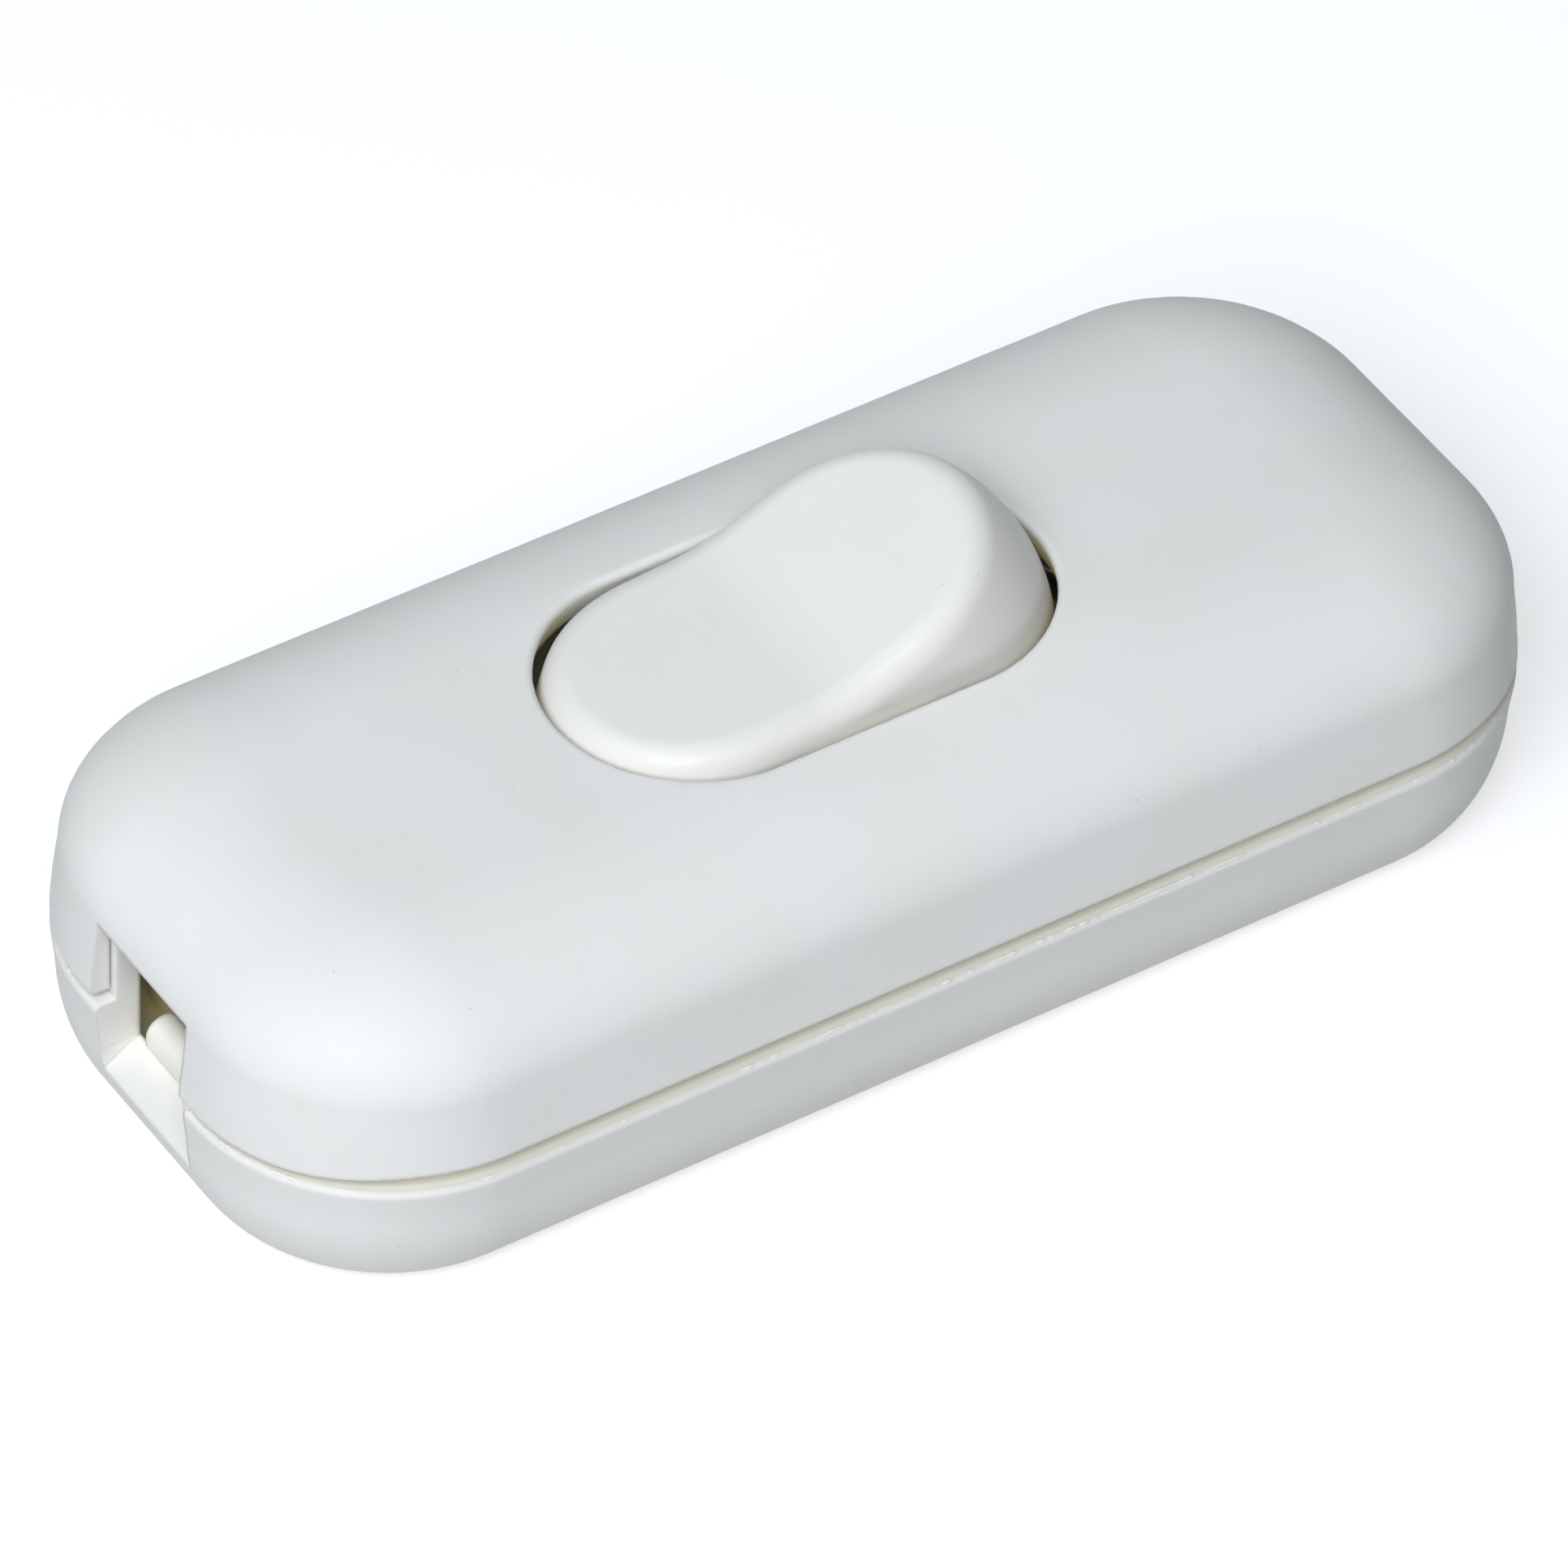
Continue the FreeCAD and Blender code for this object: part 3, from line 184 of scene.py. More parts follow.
def feed(tree, shader, **sockets):
    """Wire values that change over the surface, and set the plain ones, on a shader."""
    for name, value in sockets.items():
        socket = shader.inputs[name.replace("_", " ")]
        if isinstance(value, Wire):
            tree.nodes.links.new(value.socket, socket)
        else:
            socket.default_value = value


def new_geometry_tree(name, inputs):
    """A geometry tree with named inputs: the group, its tree, its input wire, the identifiers."""
    group = bpy.data.node_groups.new(name, "GeometryNodeTree")
    group.interface.new_socket("Geometry", in_out="INPUT", socket_type="NodeSocketGeometry")
    names = {}
    for label, kind in inputs.items():
        socket = group.interface.new_socket(label, in_out="INPUT", socket_type="NodeSocket" + kind)
        names[label] = socket.identifier
    group.interface.new_socket("Geometry", in_out="OUTPUT", socket_type="NodeSocketGeometry")
    tree = Tree(group)
    return group, tree, tree.node("NodeGroupInput"), names


def finish_tree(tree, shape, material):
    """Realize the instances, set the material and hand the shape out."""
    solid = tree.node("GeometryNodeRealizeInstances", None, {"Geometry": shape})
    dressed = tree.node("GeometryNodeSetMaterial", None, {"Geometry": solid, "Material": material})
    tree.node("NodeGroupOutput", None, {"Geometry": dressed})


def on_axis(tree, height):
    """A step up along z."""
    return tree.node("ShaderNodeCombineXYZ", None, {"Z": height})


print("helpers ready")

# %% [markdown]
# ## The camera
# The photograph looks down on the switch from its front left corner with a long lens, so the
# far end is hardly smaller than the near one. The angles and the distance were found by lining
# up the housing's corners, its groove and the rocker opening, and the camera is placed from
# those few values, which can be changed one at a time.

# %% Place the camera
AZIMUTH = math.radians(-34.172)
ELEVATION = math.radians(43.118)
ROLL = math.radians(2.045)
DISTANCE = 674.35 * MM
AIM_RIGHT = -0.117 * MM
AIM_UP = 4.572 * MM
LENS = 362.2
NEAREST = 10 * MM

flat = math.cos(ELEVATION)
back = Vector((math.sin(AZIMUTH) * flat, -math.cos(AZIMUTH) * flat, math.sin(ELEVATION)))
level_right = Vector((math.cos(AZIMUTH), math.sin(AZIMUTH), 0))
level_up = back.cross(level_right)
right = level_right * math.cos(ROLL) + level_up * math.sin(ROLL)
up = level_up * math.cos(ROLL) - level_right * math.sin(ROLL)
spot = right * AIM_RIGHT + up * AIM_UP + back * DISTANCE

camera_data = bpy.data.cameras.new("camera")
camera_data.lens = LENS
camera_data.clip_start = NEAREST
camera = bpy.data.objects.new("camera", camera_data)
camera.matrix_world = Matrix((right, up, back)).transposed().to_4x4()
camera.location = spot
bpy.context.scene.collection.objects.link(camera)
bpy.context.scene.camera = camera
print("camera at", [round(v, 3) for v in spot], "lens", LENS)

# %% [markdown]
# ## Floor
# The switch lies on a plain pale sheet that runs out to white. Lighting a sheet until it clips
# would wash out the white plastic too, so the sheet glows a little by itself, and only for
# the rays that come from the camera or from a reflection. The shadow stays, because the glow
# is only a part of its brightness. From below, the sheet lets the eye through. It also lets very
# short rays through, so that it doesn't blacken the underside, which lies almost on it.

# %% Lay the floor
FLOOR_HALF = 1.5
FLOOR_DROP = 0.02 * MM
TOUCH_RANGE = 0.2 * MM
FLOOR_PAINT = 0.62
FLOOR_GLOW = 0.56


def seen_rays(tree):
    """1 for the rays that show a background: from the camera, a mirror or a clear piece."""
    path = tree.node("ShaderNodeLightPath", output="Is Camera Ray")
    direct = path.maths("MAXIMUM", path, path.out("Is Glossy Ray"))
    return path.maths("MAXIMUM", direct, path.out("Is Transmission Ray"))


floor_mesh = bpy.data.meshes.new("floor")
signs = [(-1, -1), (1, -1), (1, 1), (-1, 1)]
corners = [(x * FLOOR_HALF, y * FLOOR_HALF, -FLOOR_DROP) for x, y in signs]
floor_mesh.from_pydata(corners, [], [(0, 1, 2, 3)])
floor = bpy.data.objects.new("floor", floor_mesh)
bpy.context.scene.collection.objects.link(floor)

sheet = bpy.data.materials.new("pale_sheet")
sheet.use_nodes = True
sheet.node_tree.nodes.clear()
tree = Tree(sheet.node_tree)
matt = tree.node("ShaderNodeBsdfDiffuse", None, {"Color": (FLOOR_PAINT,) * 3 + (1,)})
glow = tree.node("ShaderNodeEmission", None, {"Strength": FLOOR_GLOW * seen_rays(tree)})
lit = tree.node("ShaderNodeAddShader", None, {0: matt, 1: glow})
clear = tree.node("ShaderNodeBsdfTransparent")
below = tree.node("ShaderNodeNewGeometry", output="Backfacing")
touching = tree.node("ShaderNodeLightPath", output="Ray Length") < TOUCH_RANGE
through = below.maths("MAXIMUM", below, touching)
sided = tree.node("ShaderNodeMixShader", None, {"Fac": through, 1: lit, 2: clear})
tree.node("ShaderNodeOutputMaterial", None, {"Surface": sided})
floor_mesh.materials.append(sheet)
floor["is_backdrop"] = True
print("floor half width", FLOOR_HALF, "m")

# %% [markdown]
# ## Surroundings
# The walls of a studio throw back a little cold light, which keeps the shaded end of the switch
# from going dull. The eye meets a white background, so the world has two parts: a weak cold one
# that lights the switch, and a plain white one for the rays that also see the sheet's glow. The
# view transform is the standard one, so a bright tone is not bent on its way to the picture.

# %% Light the surroundings
AMBIENT = 0.04
AMBIENT_TINT = (0.80, 0.94, 1.0, 1)
world = bpy.data.worlds.new("studio")
world.use_nodes = True
world.node_tree.nodes.clear()
tree = Tree(world.node_tree)
around = tree.node("ShaderNodeBackground", None, {"Color": AMBIENT_TINT, "Strength": AMBIENT})
white = tree.node("ShaderNodeBackground", None, {"Color": (1, 1, 1, 1), "Strength": 1.0})
shown = tree.node("ShaderNodeMixShader", None, {"Fac": seen_rays(tree), 1: around, 2: white})
tree.node("ShaderNodeOutputWorld", None, {"Surface": shown})
bpy.context.scene.world = world
bpy.context.scene.view_settings.view_transform = "Standard"
print("ambient", AMBIENT, "tint", AMBIENT_TINT[:3])

# %% [markdown]
# ## Soft boxes
# White plastic shows its shape only by the slow change of tone over its curves, so the lamps
# are large and soft and stand on one side. In the photograph the near left corner is the
# brightest place and the far right end the darkest. Each lamp is given by where it stands
# around the switch and by how bright a white card facing it would be.

# %% Hang the lamps
LAMP_DISTANCE = 0.6
COOL = (0.887, 0.918, 0.998)
COLD = (0.72, 0.93, 1.0)
# name, degrees round the switch, degrees up, size in metres, light on a facing card, tint
LAMPS = [
    ("key", -45, 45, 0.34, 0.80, COOL),
    ("left_fill", -90, 52, 0.40, 0.28, COOL),
    ("front_high", 5, 52, 0.40, 0.07, COOL),
    ("back_high", 165, 58, 0.40, 0.08, COLD),
    ("back_edge", 135, 15, 0.40, 0.07, COLD),
]


def hang_lamp(name, around_deg, height_deg, size, card, tint):
    """A square soft box aimed at the switch; card is the light it gives a facing white card."""
    turn, rise = math.radians(around_deg), math.radians(height_deg)
    level = math.cos(rise)
    ray = Vector((math.sin(turn) * level, -math.cos(turn) * level, math.sin(rise)))
    data = bpy.data.lights.new(name, "AREA")
    data.size = size
    data.energy = card * (math.pi * LAMP_DISTANCE) ** 2
    data.color = tint
    lamp = bpy.data.objects.new(name, data)
    lamp.location = ray * LAMP_DISTANCE
    lamp.rotation_euler = ray.to_track_quat("Z", "Y").to_euler()
    lamp.visible_camera = False
    bpy.context.scene.collection.objects.link(lamp)
    return lamp


lamps = [hang_lamp(*row) for row in LAMPS]
print("lamps:", [(lamp.name, round(lamp.data.energy, 2)) for lamp in lamps])

# %% [markdown]
# ## Smooth shells
# The frame's meshes are loose triangles, which would show every facet of the rounded crown.
# Welding the corners, smoothing across gentle edges and weighting the normals by face area
# gives the even sheen of a moulding and keeps the true edges crisp. It is done by modifiers,
# so the frame itself stays untouched.

# %% Smooth the frame's pieces
SMOOTH_ANGLE = math.radians(38)
WELD_GAP = 0.0005 * MM


def smooth_edges(tree, shape, angle):
    """Smooth a shape across every edge that is gentler than an angle."""
    soft = tree.node("GeometryNodeSetShadeSmooth", {"domain": "FACE"}, {"Geometry": shape})
    gentle = tree.node("GeometryNodeInputMeshEdgeAngle") < angle
    sockets = {"Geometry": soft, "Shade Smooth": gentle}
    return tree.node("GeometryNodeSetShadeSmooth", {"domain": "EDGE"}, sockets)


def smoothing_tree():
    """Geometry nodes that weld a shell and smooth its gentle edges."""
    inputs = {"Angle": "Float", "Gap": "Float"}
    group, tree, given, names = new_geometry_tree("smooth_shell", inputs)
    sockets = {"Geometry": given, "Distance": given.out("Gap")}
    welded = tree.node("GeometryNodeMergeByDistance", None, sockets)
    eased = smooth_edges(tree, welded, given.out("Angle"))
    tree.node("NodeGroupOutput", None, {"Geometry": eased})
    return group, names


smooth_group, smooth_inputs = smoothing_tree()


def smooth_shell(piece):
    """Weld and smooth one piece by modifiers."""
    nodes = piece.modifiers.new("smooth_shell", "NODES")
    nodes.node_group = smooth_group
    nodes[smooth_inputs["Angle"]] = SMOOTH_ANGLE
    nodes[smooth_inputs["Gap"]] = WELD_GAP
    weights = piece.modifiers.new("even_normals", "WEIGHTED_NORMAL")
    weights.keep_sharp = True


for piece in frame["nodes"].values():
    smooth_shell(piece)
print("smoothed", len(frame["nodes"]), "pieces")

# %% [markdown]
# ## Moulded plastic
# The housing is a satin white plastic from a spark-eroded mould: a fine grain that breaks up
# the sheen, a very slow waviness where the wall has shrunk, a faint mottling of the colour and
# a few specks of dust. The rocker comes from a polished mould, so a thin clear coat lies over its
# satin. White plastic is a little warm, which shows where light bounces in grooves and hollows,
# because the lamps are cool, and the hollows below also get warm bounce light painted into their
# colour. No moulded edge is sharp, so a Bevel node rounds the normals along the edges. One function
# makes all the plastics from noise at three sizes on the piece's own coordinates, so no picture
# has to be painted for any of them.

# %% Plastic finishes
EDGE_ROUND = 0.30 * MM
EDGE_SAMPLES = 4
PLASTIC_IOR = 1.5
SHEEN_LEVEL = 0.18
POLISH_ROUGHNESS = 0.07
MOTTLE_SCALE = 180.0
MOTTLE_BAND = (0.3, 0.7)
WAVE_SCALE = 60.0
WAVE_SHARE = 4
GRAIN_SHARE = 0.6
SPECK_CELLS = 500.0
SPECK_SIZE = 0.05
SPECK_CORE = 0.3
SPECK_SHARE = 0.4
SPECK_STRENGTH = 0.5
SPECK_TONE = (0.60, 0.56, 0.46)


def noise(tree, place, scale, detail):
    """Noise with a number of waves to the metre and a number of finer layers."""
    sockets = {"Vector": place, "Scale": scale, "Detail": detail}
    return tree.node("ShaderNodeTexNoise", None, sockets)


def specks(tree, place):
    """1 on a few specks of dust, one at most in each cell."""
    cell = tree.node("ShaderNodeTexVoronoi", None, {"Vector": place, "Scale": SPECK_CELLS})
    chance = tree.node("ShaderNodeSeparateColor", None, {0: cell.out("Color")})
    return (1 - cell.step(SPECK_CORE * SPECK_SIZE, SPECK_SIZE)) * (chance < SPECK_SHARE)


def moulded_plastic(
    name, pale, deep, gloss, grain_mm, grain_depth, shades=(), polish=0.0, edge=EDGE_ROUND
):
    """A moulding of two close tones, a range of roughness, painted light and shade, polish and round edges.

    The size and the depth of its grain are in millimetres.
    """
    material, tree, shader, place = new_material(name)
    mottle = noise(tree, place, scale=MOTTLE_SCALE, detail=3.0)
    grain = noise(tree, place, scale=1 / (grain_mm * MM), detail=2.0)
    wave = noise(tree, place, scale=WAVE_SCALE, detail=1.0)
    tone = tree.mix(mottle.step(*MOTTLE_BAND), deep, pale)
    tone = tree.mix(SPECK_STRENGTH * specks(tree, place), tone, SPECK_TONE)
    # mix in the painted light and shade of the hollows, one mask at a time
    for colour, hollow in shades:
        tone = tree.mix(hollow(tree, place), tone, colour)
    low, high = gloss
    rough = low + (high - low) * (GRAIN_SHARE * grain + (1 - GRAIN_SHARE) * mottle)
    height = grain * grain_depth + wave * (WAVE_SHARE * grain_depth)
    grained = {"Strength": 1.0, "Distance": MM, "Height": height}
    if edge:
        rounding = {"samples": EDGE_SAMPLES}
        grained["Normal"] = tree.node("ShaderNodeBevel", rounding, {"Radius": edge})
    bump = tree.node("ShaderNodeBump", None, grained)
    feed(tree, shader, Base_Color=tone, Roughness=rough, Normal=bump)
    feed(tree, shader, IOR=PLASTIC_IOR, Specular_IOR_Level=SHEEN_LEVEL)
    feed(tree, shader, Coat_Weight=polish, Coat_Roughness=POLISH_ROUGHNESS)
    return material


print("plastic recipe ready, edges rounded by", round(EDGE_ROUND / MM, 2), "mm")

# %% [markdown]
# ## Painted light and shade in the hollows
# Through the cord inlets and the gap round the rocker the eye meets the inside, where the light
# has bounced several times and has taken on a deep straw colour, and this bounce light is painted
# into the colour there. The walls of the inlets and the parting groove get a cream tint of painted
# bounce light for the same reason, and the lit outer edge of the groove's ledge is toned down with
# a painted shade. Masks on the piece's own coordinates mark these places: they measure how far a
# place lies inside the housing's rounded outline, so they follow the walls round the corners. Each
# pair of lengths is where a mask starts and ends its rise.

# %% Hollows
HALF_LENGTH = CAD_HIGH.x
HALF_WIDTH = CAD_HIGH.y
CORNER = 9.7 * MM
CASE_DEPTH = (3.4 * MM, 4.2 * MM)
CASE_FOOT = (1.0 * MM, 1.9 * MM)
CASE_TOP = (13.2 * MM, 13.8 * MM)
GROOVE_DEPTH = (0.28 * MM, 0.45 * MM)
GROOVE_FOOT = (6.2 * MM, 6.5 * MM)
GROOVE_TOP = (7.5 * MM, 7.9 * MM)
GROOVE_ENDS = (4.0 * MM, 5.5 * MM)
LEDGE_DEPTH = (0.02 * MM, 0.12 * MM)
INLET_DEPTH = (0.8 * MM, 2.4 * MM)
INLET_TOP = (6.5 * MM, 8.5 * MM)
WELL_DEPTH = (7.0 * MM, 8.0 * MM)
WELL_FOOT = (11.5 * MM, 12.5 * MM)
WELL_TOP = (14.2 * MM, 15.2 * MM)


def depth_and_height(tree, place):
    """How far a place lies inside the outline, and how high it is, as two wires."""
    along = tree.node("ShaderNodeSeparateXYZ", None, {0: place})
    x = along.maths("ABSOLUTE", along) - (HALF_LENGTH - CORNER)
    y = along.maths("ABSOLUTE", along.out("Y")) - (HALF_WIDTH - CORNER)
    x = x.maths("MAXIMUM", x, 0.0)
    y = y.maths("MAXIMUM", y, 0.0)
    return CORNER - x.maths("SQRT", x * x + y * y), along.out("Z")


def between(height, foot, top):
    """1 from a foot up to a top, with soft ends."""
    return height.step(*foot) * (1 - height.step(*top))


def case_hollow(tree, place):
    """1 in the room behind the ribs of the inlets, for a straw tint of painted bounce light."""
    depth, height = depth_and_height(tree, place)
    return depth.step(*CASE_DEPTH) * between(height, CASE_FOOT, CASE_TOP)


def groove_band(tree, place):
    """The depth inside the outline, and 1 at the height of the groove, away from the inlets."""
    depth, height = depth_and_height(tree, place)
    across = tree.node("ShaderNodeSeparateXYZ", None, {0: place}, output="Y")
    beside = across.maths("ABSOLUTE", across).step(*GROOVE_ENDS)
    return depth, between(height, GROOVE_FOOT, GROOVE_TOP) * beside


def ledge_shade(tree, place):
    """1 on the lit outer edge of the ledge that forms the floor of the groove, toned down by painted shade."""
    depth, band = groove_band(tree, place)
    return depth.step(*LEDGE_DEPTH) * band


def groove_hollow(tree, place):
    """1 in the depth of the groove, where light is thrown to and fro."""
    depth, band = groove_band(tree, place)
    return depth.step(*GROOVE_DEPTH) * band


def inlet_hollow(tree, place):
    """Rises from 0 at the mouth of a cord inlet to 1 at the rib, for a cream tint of painted bounce light."""
    depth, height = depth_and_height(tree, place)
    return depth.step(*INLET_DEPTH) * (1 - height.step(*INLET_TOP))


def well_hollow(tree, place):
    """1 on the walls of the opening that the rocker stands in, for a straw tint of painted bounce light."""
    depth, height = depth_and_height(tree, place)
    return depth.step(*WELL_DEPTH) * between(height, WELL_FOOT, WELL_TOP)


print("outline half sizes in mm:", round(HALF_LENGTH / MM, 2), round(HALF_WIDTH / MM, 2))

# %% [markdown]
# ## The five plastics
# White mouldings differ mostly in their gloss. Their colours are warmer here than they look in the
# photograph, because the lamps are cool, and they stay below full white, so that bright places
# keep their form. The flash is thinner than the rounding of an edge, so it has a finish without
# that rounding. The clamps and the plunger are of plainer, yellower stock.

# %% Mix the plastics
# painted bounce light: a deep straw tint for the inside and the rocker's well
STRAW = (0.97, 0.86, 0.48)
# painted bounce light: a cream tint that deepens into the cord inlets
CREAM = (0.93, 0.91, 0.80)
# painted shade that tones down the lit outer edge of the groove's ledge
LEDGE_SHADE = (0.80, 0.785, 0.71)
# painted bounce light that brightens the shadowed depth of the parting groove
GROOVE = (0.90, 0.88, 0.77)
HOUSING = moulded_plastic(
    "satin_housing",
    pale=(0.86, 0.85, 0.80),
    deep=(0.84, 0.83, 0.775),
    gloss=(0.46, 0.58),
    grain_mm=0.24,
    grain_depth=0.0080,
    # painted shade on the ledge's lit edge, then painted bounce light in the inlets, the groove and the inside
    shades=[
        (LEDGE_SHADE, ledge_shade),
        (CREAM, inlet_hollow),
        (GROOVE, groove_hollow),
        (STRAW, case_hollow),
        (STRAW, well_hollow),
    ],
)
ROCKER = moulded_plastic(
    "polished_rocker",
    pale=(0.865, 0.845, 0.785),
    deep=(0.855, 0.835, 0.77),
    gloss=(0.42, 0.50),
    grain_mm=0.40,
    grain_depth=0.0008,
    polish=0.18,
)
FLASH = moulded_plastic(
    "thin_flash",
    pale=(0.88, 0.86, 0.79),
    deep=(0.84, 0.82, 0.74),
    gloss=(0.50, 0.62),
    grain_mm=0.10,
    grain_depth=0.0010,
    edge=0.0,
)
CLAMP = moulded_plastic(
    "plain_clamp",
    pale=(0.90, 0.80, 0.52),
    deep=(0.86, 0.76, 0.48),
    gloss=(0.40, 0.55),
    grain_mm=0.25,
    grain_depth=0.0025,
)
NATURAL = moulded_plastic(
    "natural_plunger",
    pale=(0.86, 0.82, 0.72),
    deep=(0.82, 0.78, 0.67),
    gloss=(0.30, 0.42),
    grain_mm=0.30,
    grain_depth=0.0012,
)
print("plastics:", [m.name for m in (HOUSING, ROCKER, FLASH, CLAMP, NATURAL)])

# %% [markdown]
# ## Brass, steel and silver
# The conductors are stamped from rolled brass strip, the screws are zinc plated, the spring is
# drawn wire and the contacts are silver rivets. On all of them the fine lines of rolling or
# drawing and a little tarnish matter more than the colour, so the shader is fully metallic and
# the noise, stretched along one axis, drives roughness, tone and bump.

# %% Metal finishes
STAIN_SCALE = 450.0
STAIN_BAND = (0.42, 0.66)
LINE_SHARE = 0.5


def worked_metal(name, bright, dull, gloss, stretch, line_depth):
    """A metal with lines along one axis: stretch gives how fine the noise is along x, y and z."""
    material, tree, shader, place = new_material(name)
    stretched = tree.node("ShaderNodeMapping", None, {"Vector": place, "Scale": stretch})
    lines = noise(tree, stretched, scale=1.0, detail=3.0)
    patch = noise(tree, place, scale=STAIN_SCALE, detail=4.0).step(*STAIN_BAND)
    tone = tree.mix(patch, bright, dull)
    low, high = gloss
    rough = low + (high - low) * (LINE_SHARE * lines + (1 - LINE_SHARE) * patch)
    scored = {"Strength": 1.0, "Distance": MM, "Height": lines * line_depth}
    bump = tree.node("ShaderNodeBump", None, scored)
    feed(tree, shader, Base_Color=tone, Roughness=rough, Normal=bump, Metallic=1.0)
    return material


BRASS = worked_metal(
    "rolled_brass",
    bright=(0.80, 0.62, 0.30),
    dull=(0.66, 0.48, 0.22),
    gloss=(0.20, 0.42),
    stretch=(500, 6000, 6000),
    line_depth=0.002,
)
ZINC = worked_metal(
    "zinc_steel",
    bright=(0.66, 0.67, 0.68),
    dull=(0.54, 0.55, 0.55),
    gloss=(0.24, 0.45),
    stretch=(4000, 4000, 1200),
    line_depth=0.002,
)
WIRE_STEEL = worked_metal(
    "drawn_wire",
    bright=(0.60, 0.60, 0.59),
    dull=(0.48, 0.48, 0.47),
    gloss=(0.20, 0.36),
    stretch=(3000, 3000, 9000),
    line_depth=0.001,
)
SILVER = worked_metal(
    "silver_contact",
    bright=(0.86, 0.85, 0.82),
    dull=(0.70, 0.68, 0.62),
    gloss=(0.16, 0.34),
    stretch=(2500, 2500, 2500),
    line_depth=0.001,
)
print("metals:", [m.name for m in (BRASS, ZINC, WIRE_STEEL, SILVER)])

# %% [markdown]
# ## Dressing the pieces
# The record says which slot each piece takes its finish from, so the finishes are handed out
# by slot and no piece is forgotten.

# %% Hand out the finishes
FINISH = {
    "housing_plastic": HOUSING,
    "rocker_plastic": ROCKER,
    "plunger_plastic": NATURAL,
    "clamp_plastic": CLAMP,
    "spring_steel": WIRE_STEEL,
    "screw_steel": ZINC,
    "contact_metal": SILVER,
    "brass": BRASS,
}
for row in frame["record"]["subparts"]:
    piece = frame["nodes"][row["node"]]
    finish = FINISH[row["material_slot"]]
    for slot in piece.material_slots:
        slot.material = finish
    if not piece.material_slots:
        piece.data.materials.append(finish)

# %% [markdown]
# ## The two shells as they sit
# On the real switch the case screws pull the cover down at its ends, so the groove is wide along
# the sides and closes to a thin line at the ends, and the floor of each cord trough slopes down
# to the outside. Both are too slight for the frame, which stays as it is. A copy of each shell is
# welded and changed by a rule: the cover's rim is lowered towards the ends, and a wedge is cut
# out of each trough. The copies then stand for the two nodes.

# %% Settle the cover and slope the troughs
COVER_EDGE = 7.4 * MM
RIM_BAND = 0.3 * MM
RIM_WIDTH = 1.3 * MM
DIP = 0.50 * MM
DIP_START = 26.0 * MM
DIP_END = 32.2 * MM
TROUGH_FLOOR = 4.1 * MM
TROUGH_NEAR = -3.8 * MM
TROUGH_FAR = 3.2 * MM
SLOPE_START = 30.35 * MM
SLOPE_END = 33.2 * MM
SLOPE_DROP = 1.85 * MM
CUT_PLAY = 0.02 * MM


def depth_inside(spot):
    """How far a place lies inside the housing's outline."""
    over_x = max(abs(spot.x) - HALF_LENGTH + CORNER, 0)
    over_y = max(abs(spot.y) - HALF_WIDTH + CORNER, 0)
    return CORNER - math.hypot(over_x, over_y)


def cover_settling(spot):
    """How much a place on the cover goes down: only the rim, and only towards the ends."""
    on_rim = abs(spot.z - COVER_EDGE) < RIM_BAND and depth_inside(spot) < RIM_WIDTH
    share = min(max((abs(spot.x) - DIP_START) / (DIP_END - DIP_START), 0), 1)
    return DIP * share * share * (3 - 2 * share) if on_rim else 0.0


def as_piece(name, edit):
    """An object in the scene from an edited mesh."""
    mesh = bpy.data.meshes.new(name)
    edit.to_mesh(mesh)
    edit.free()
    piece = bpy.data.objects.new(name, mesh)
    bpy.context.scene.collection.objects.link(piece)
    return piece


def trough_wedge(sign):
    """The wedge of air over the sloping floor of the trough at one end."""
    top = TROUGH_FLOOR + CUT_PLAY
    side = [
        (SLOPE_START, top),
        (SLOPE_START, TROUGH_FLOOR),
        (SLOPE_END, TROUGH_FLOOR - SLOPE_DROP),
        (SLOPE_END, top),
    ]
    spots = []
    for across in (TROUGH_NEAR - CUT_PLAY, TROUGH_FAR + CUT_PLAY):
        spots += [(sign * along, -sign * across, height) for along, height in side]
    faces = [(0, 1, 2, 3), (7, 6, 5, 4)]
    faces += [(k, k + 4, (k + 1) % 4 + 4, (k + 1) % 4) for k in range(4)]
    edit = bmesh.new()
    corners = [edit.verts.new(spot) for spot in spots]
    for face in faces:
        edit.faces.new([corners[k] for k in face])
    bmesh.ops.recalc_face_normals(edit, faces=edit.faces)
    return as_piece("trough_wedge", edit)


def plain_mesh(piece):
    """Replace a piece's mesh by what its modifiers make of it, and drop the modifiers."""
    bpy.context.view_layer.update()
    graph = bpy.context.evaluated_depsgraph_get()
    made = bpy.data.meshes.new_from_object(piece.evaluated_get(graph), depsgraph=graph)
    made.name = piece.name
    piece.modifiers.clear()
    piece.data = made


def shell_copy(name, node, settling, wedges):
    """A welded copy of a shell, settled by a rule and cut by wedges, that stands for the node."""
    edit = bmesh.new()
    edit.from_mesh(frame["nodes"][node].data)
    bmesh.ops.remove_doubles(edit, verts=edit.verts, dist=WELD_GAP)
    for corner in edit.verts:
        corner.co.z -= settling(corner.co)
    shell = as_piece(name, edit)
    for wedge in wedges:
        cut = shell.modifiers.new("trough", "BOOLEAN")
        cut.operation = "DIFFERENCE"
        cut.solver = "EXACT"
        cut.object = wedge
    smooth_shell(shell)
    plain_mesh(shell)
    shell.data.materials.clear()
    shell.data.materials.append(HOUSING)
    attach(shell, "housing")
    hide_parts(node)
    return shell


wedges = [trough_wedge(sign) for sign in (-1, 1)]
base_shell = shell_copy("base_shell", "base", lambda spot: 0.0, wedges)
cover_shell = shell_copy("cover_shell", "upper_cover", cover_settling, [])
for wedge in wedges:
    bpy.data.objects.remove(wedge)
print("shells:", [(piece.name, len(piece.data.polygons)) for piece in (base_shell, cover_shell)])

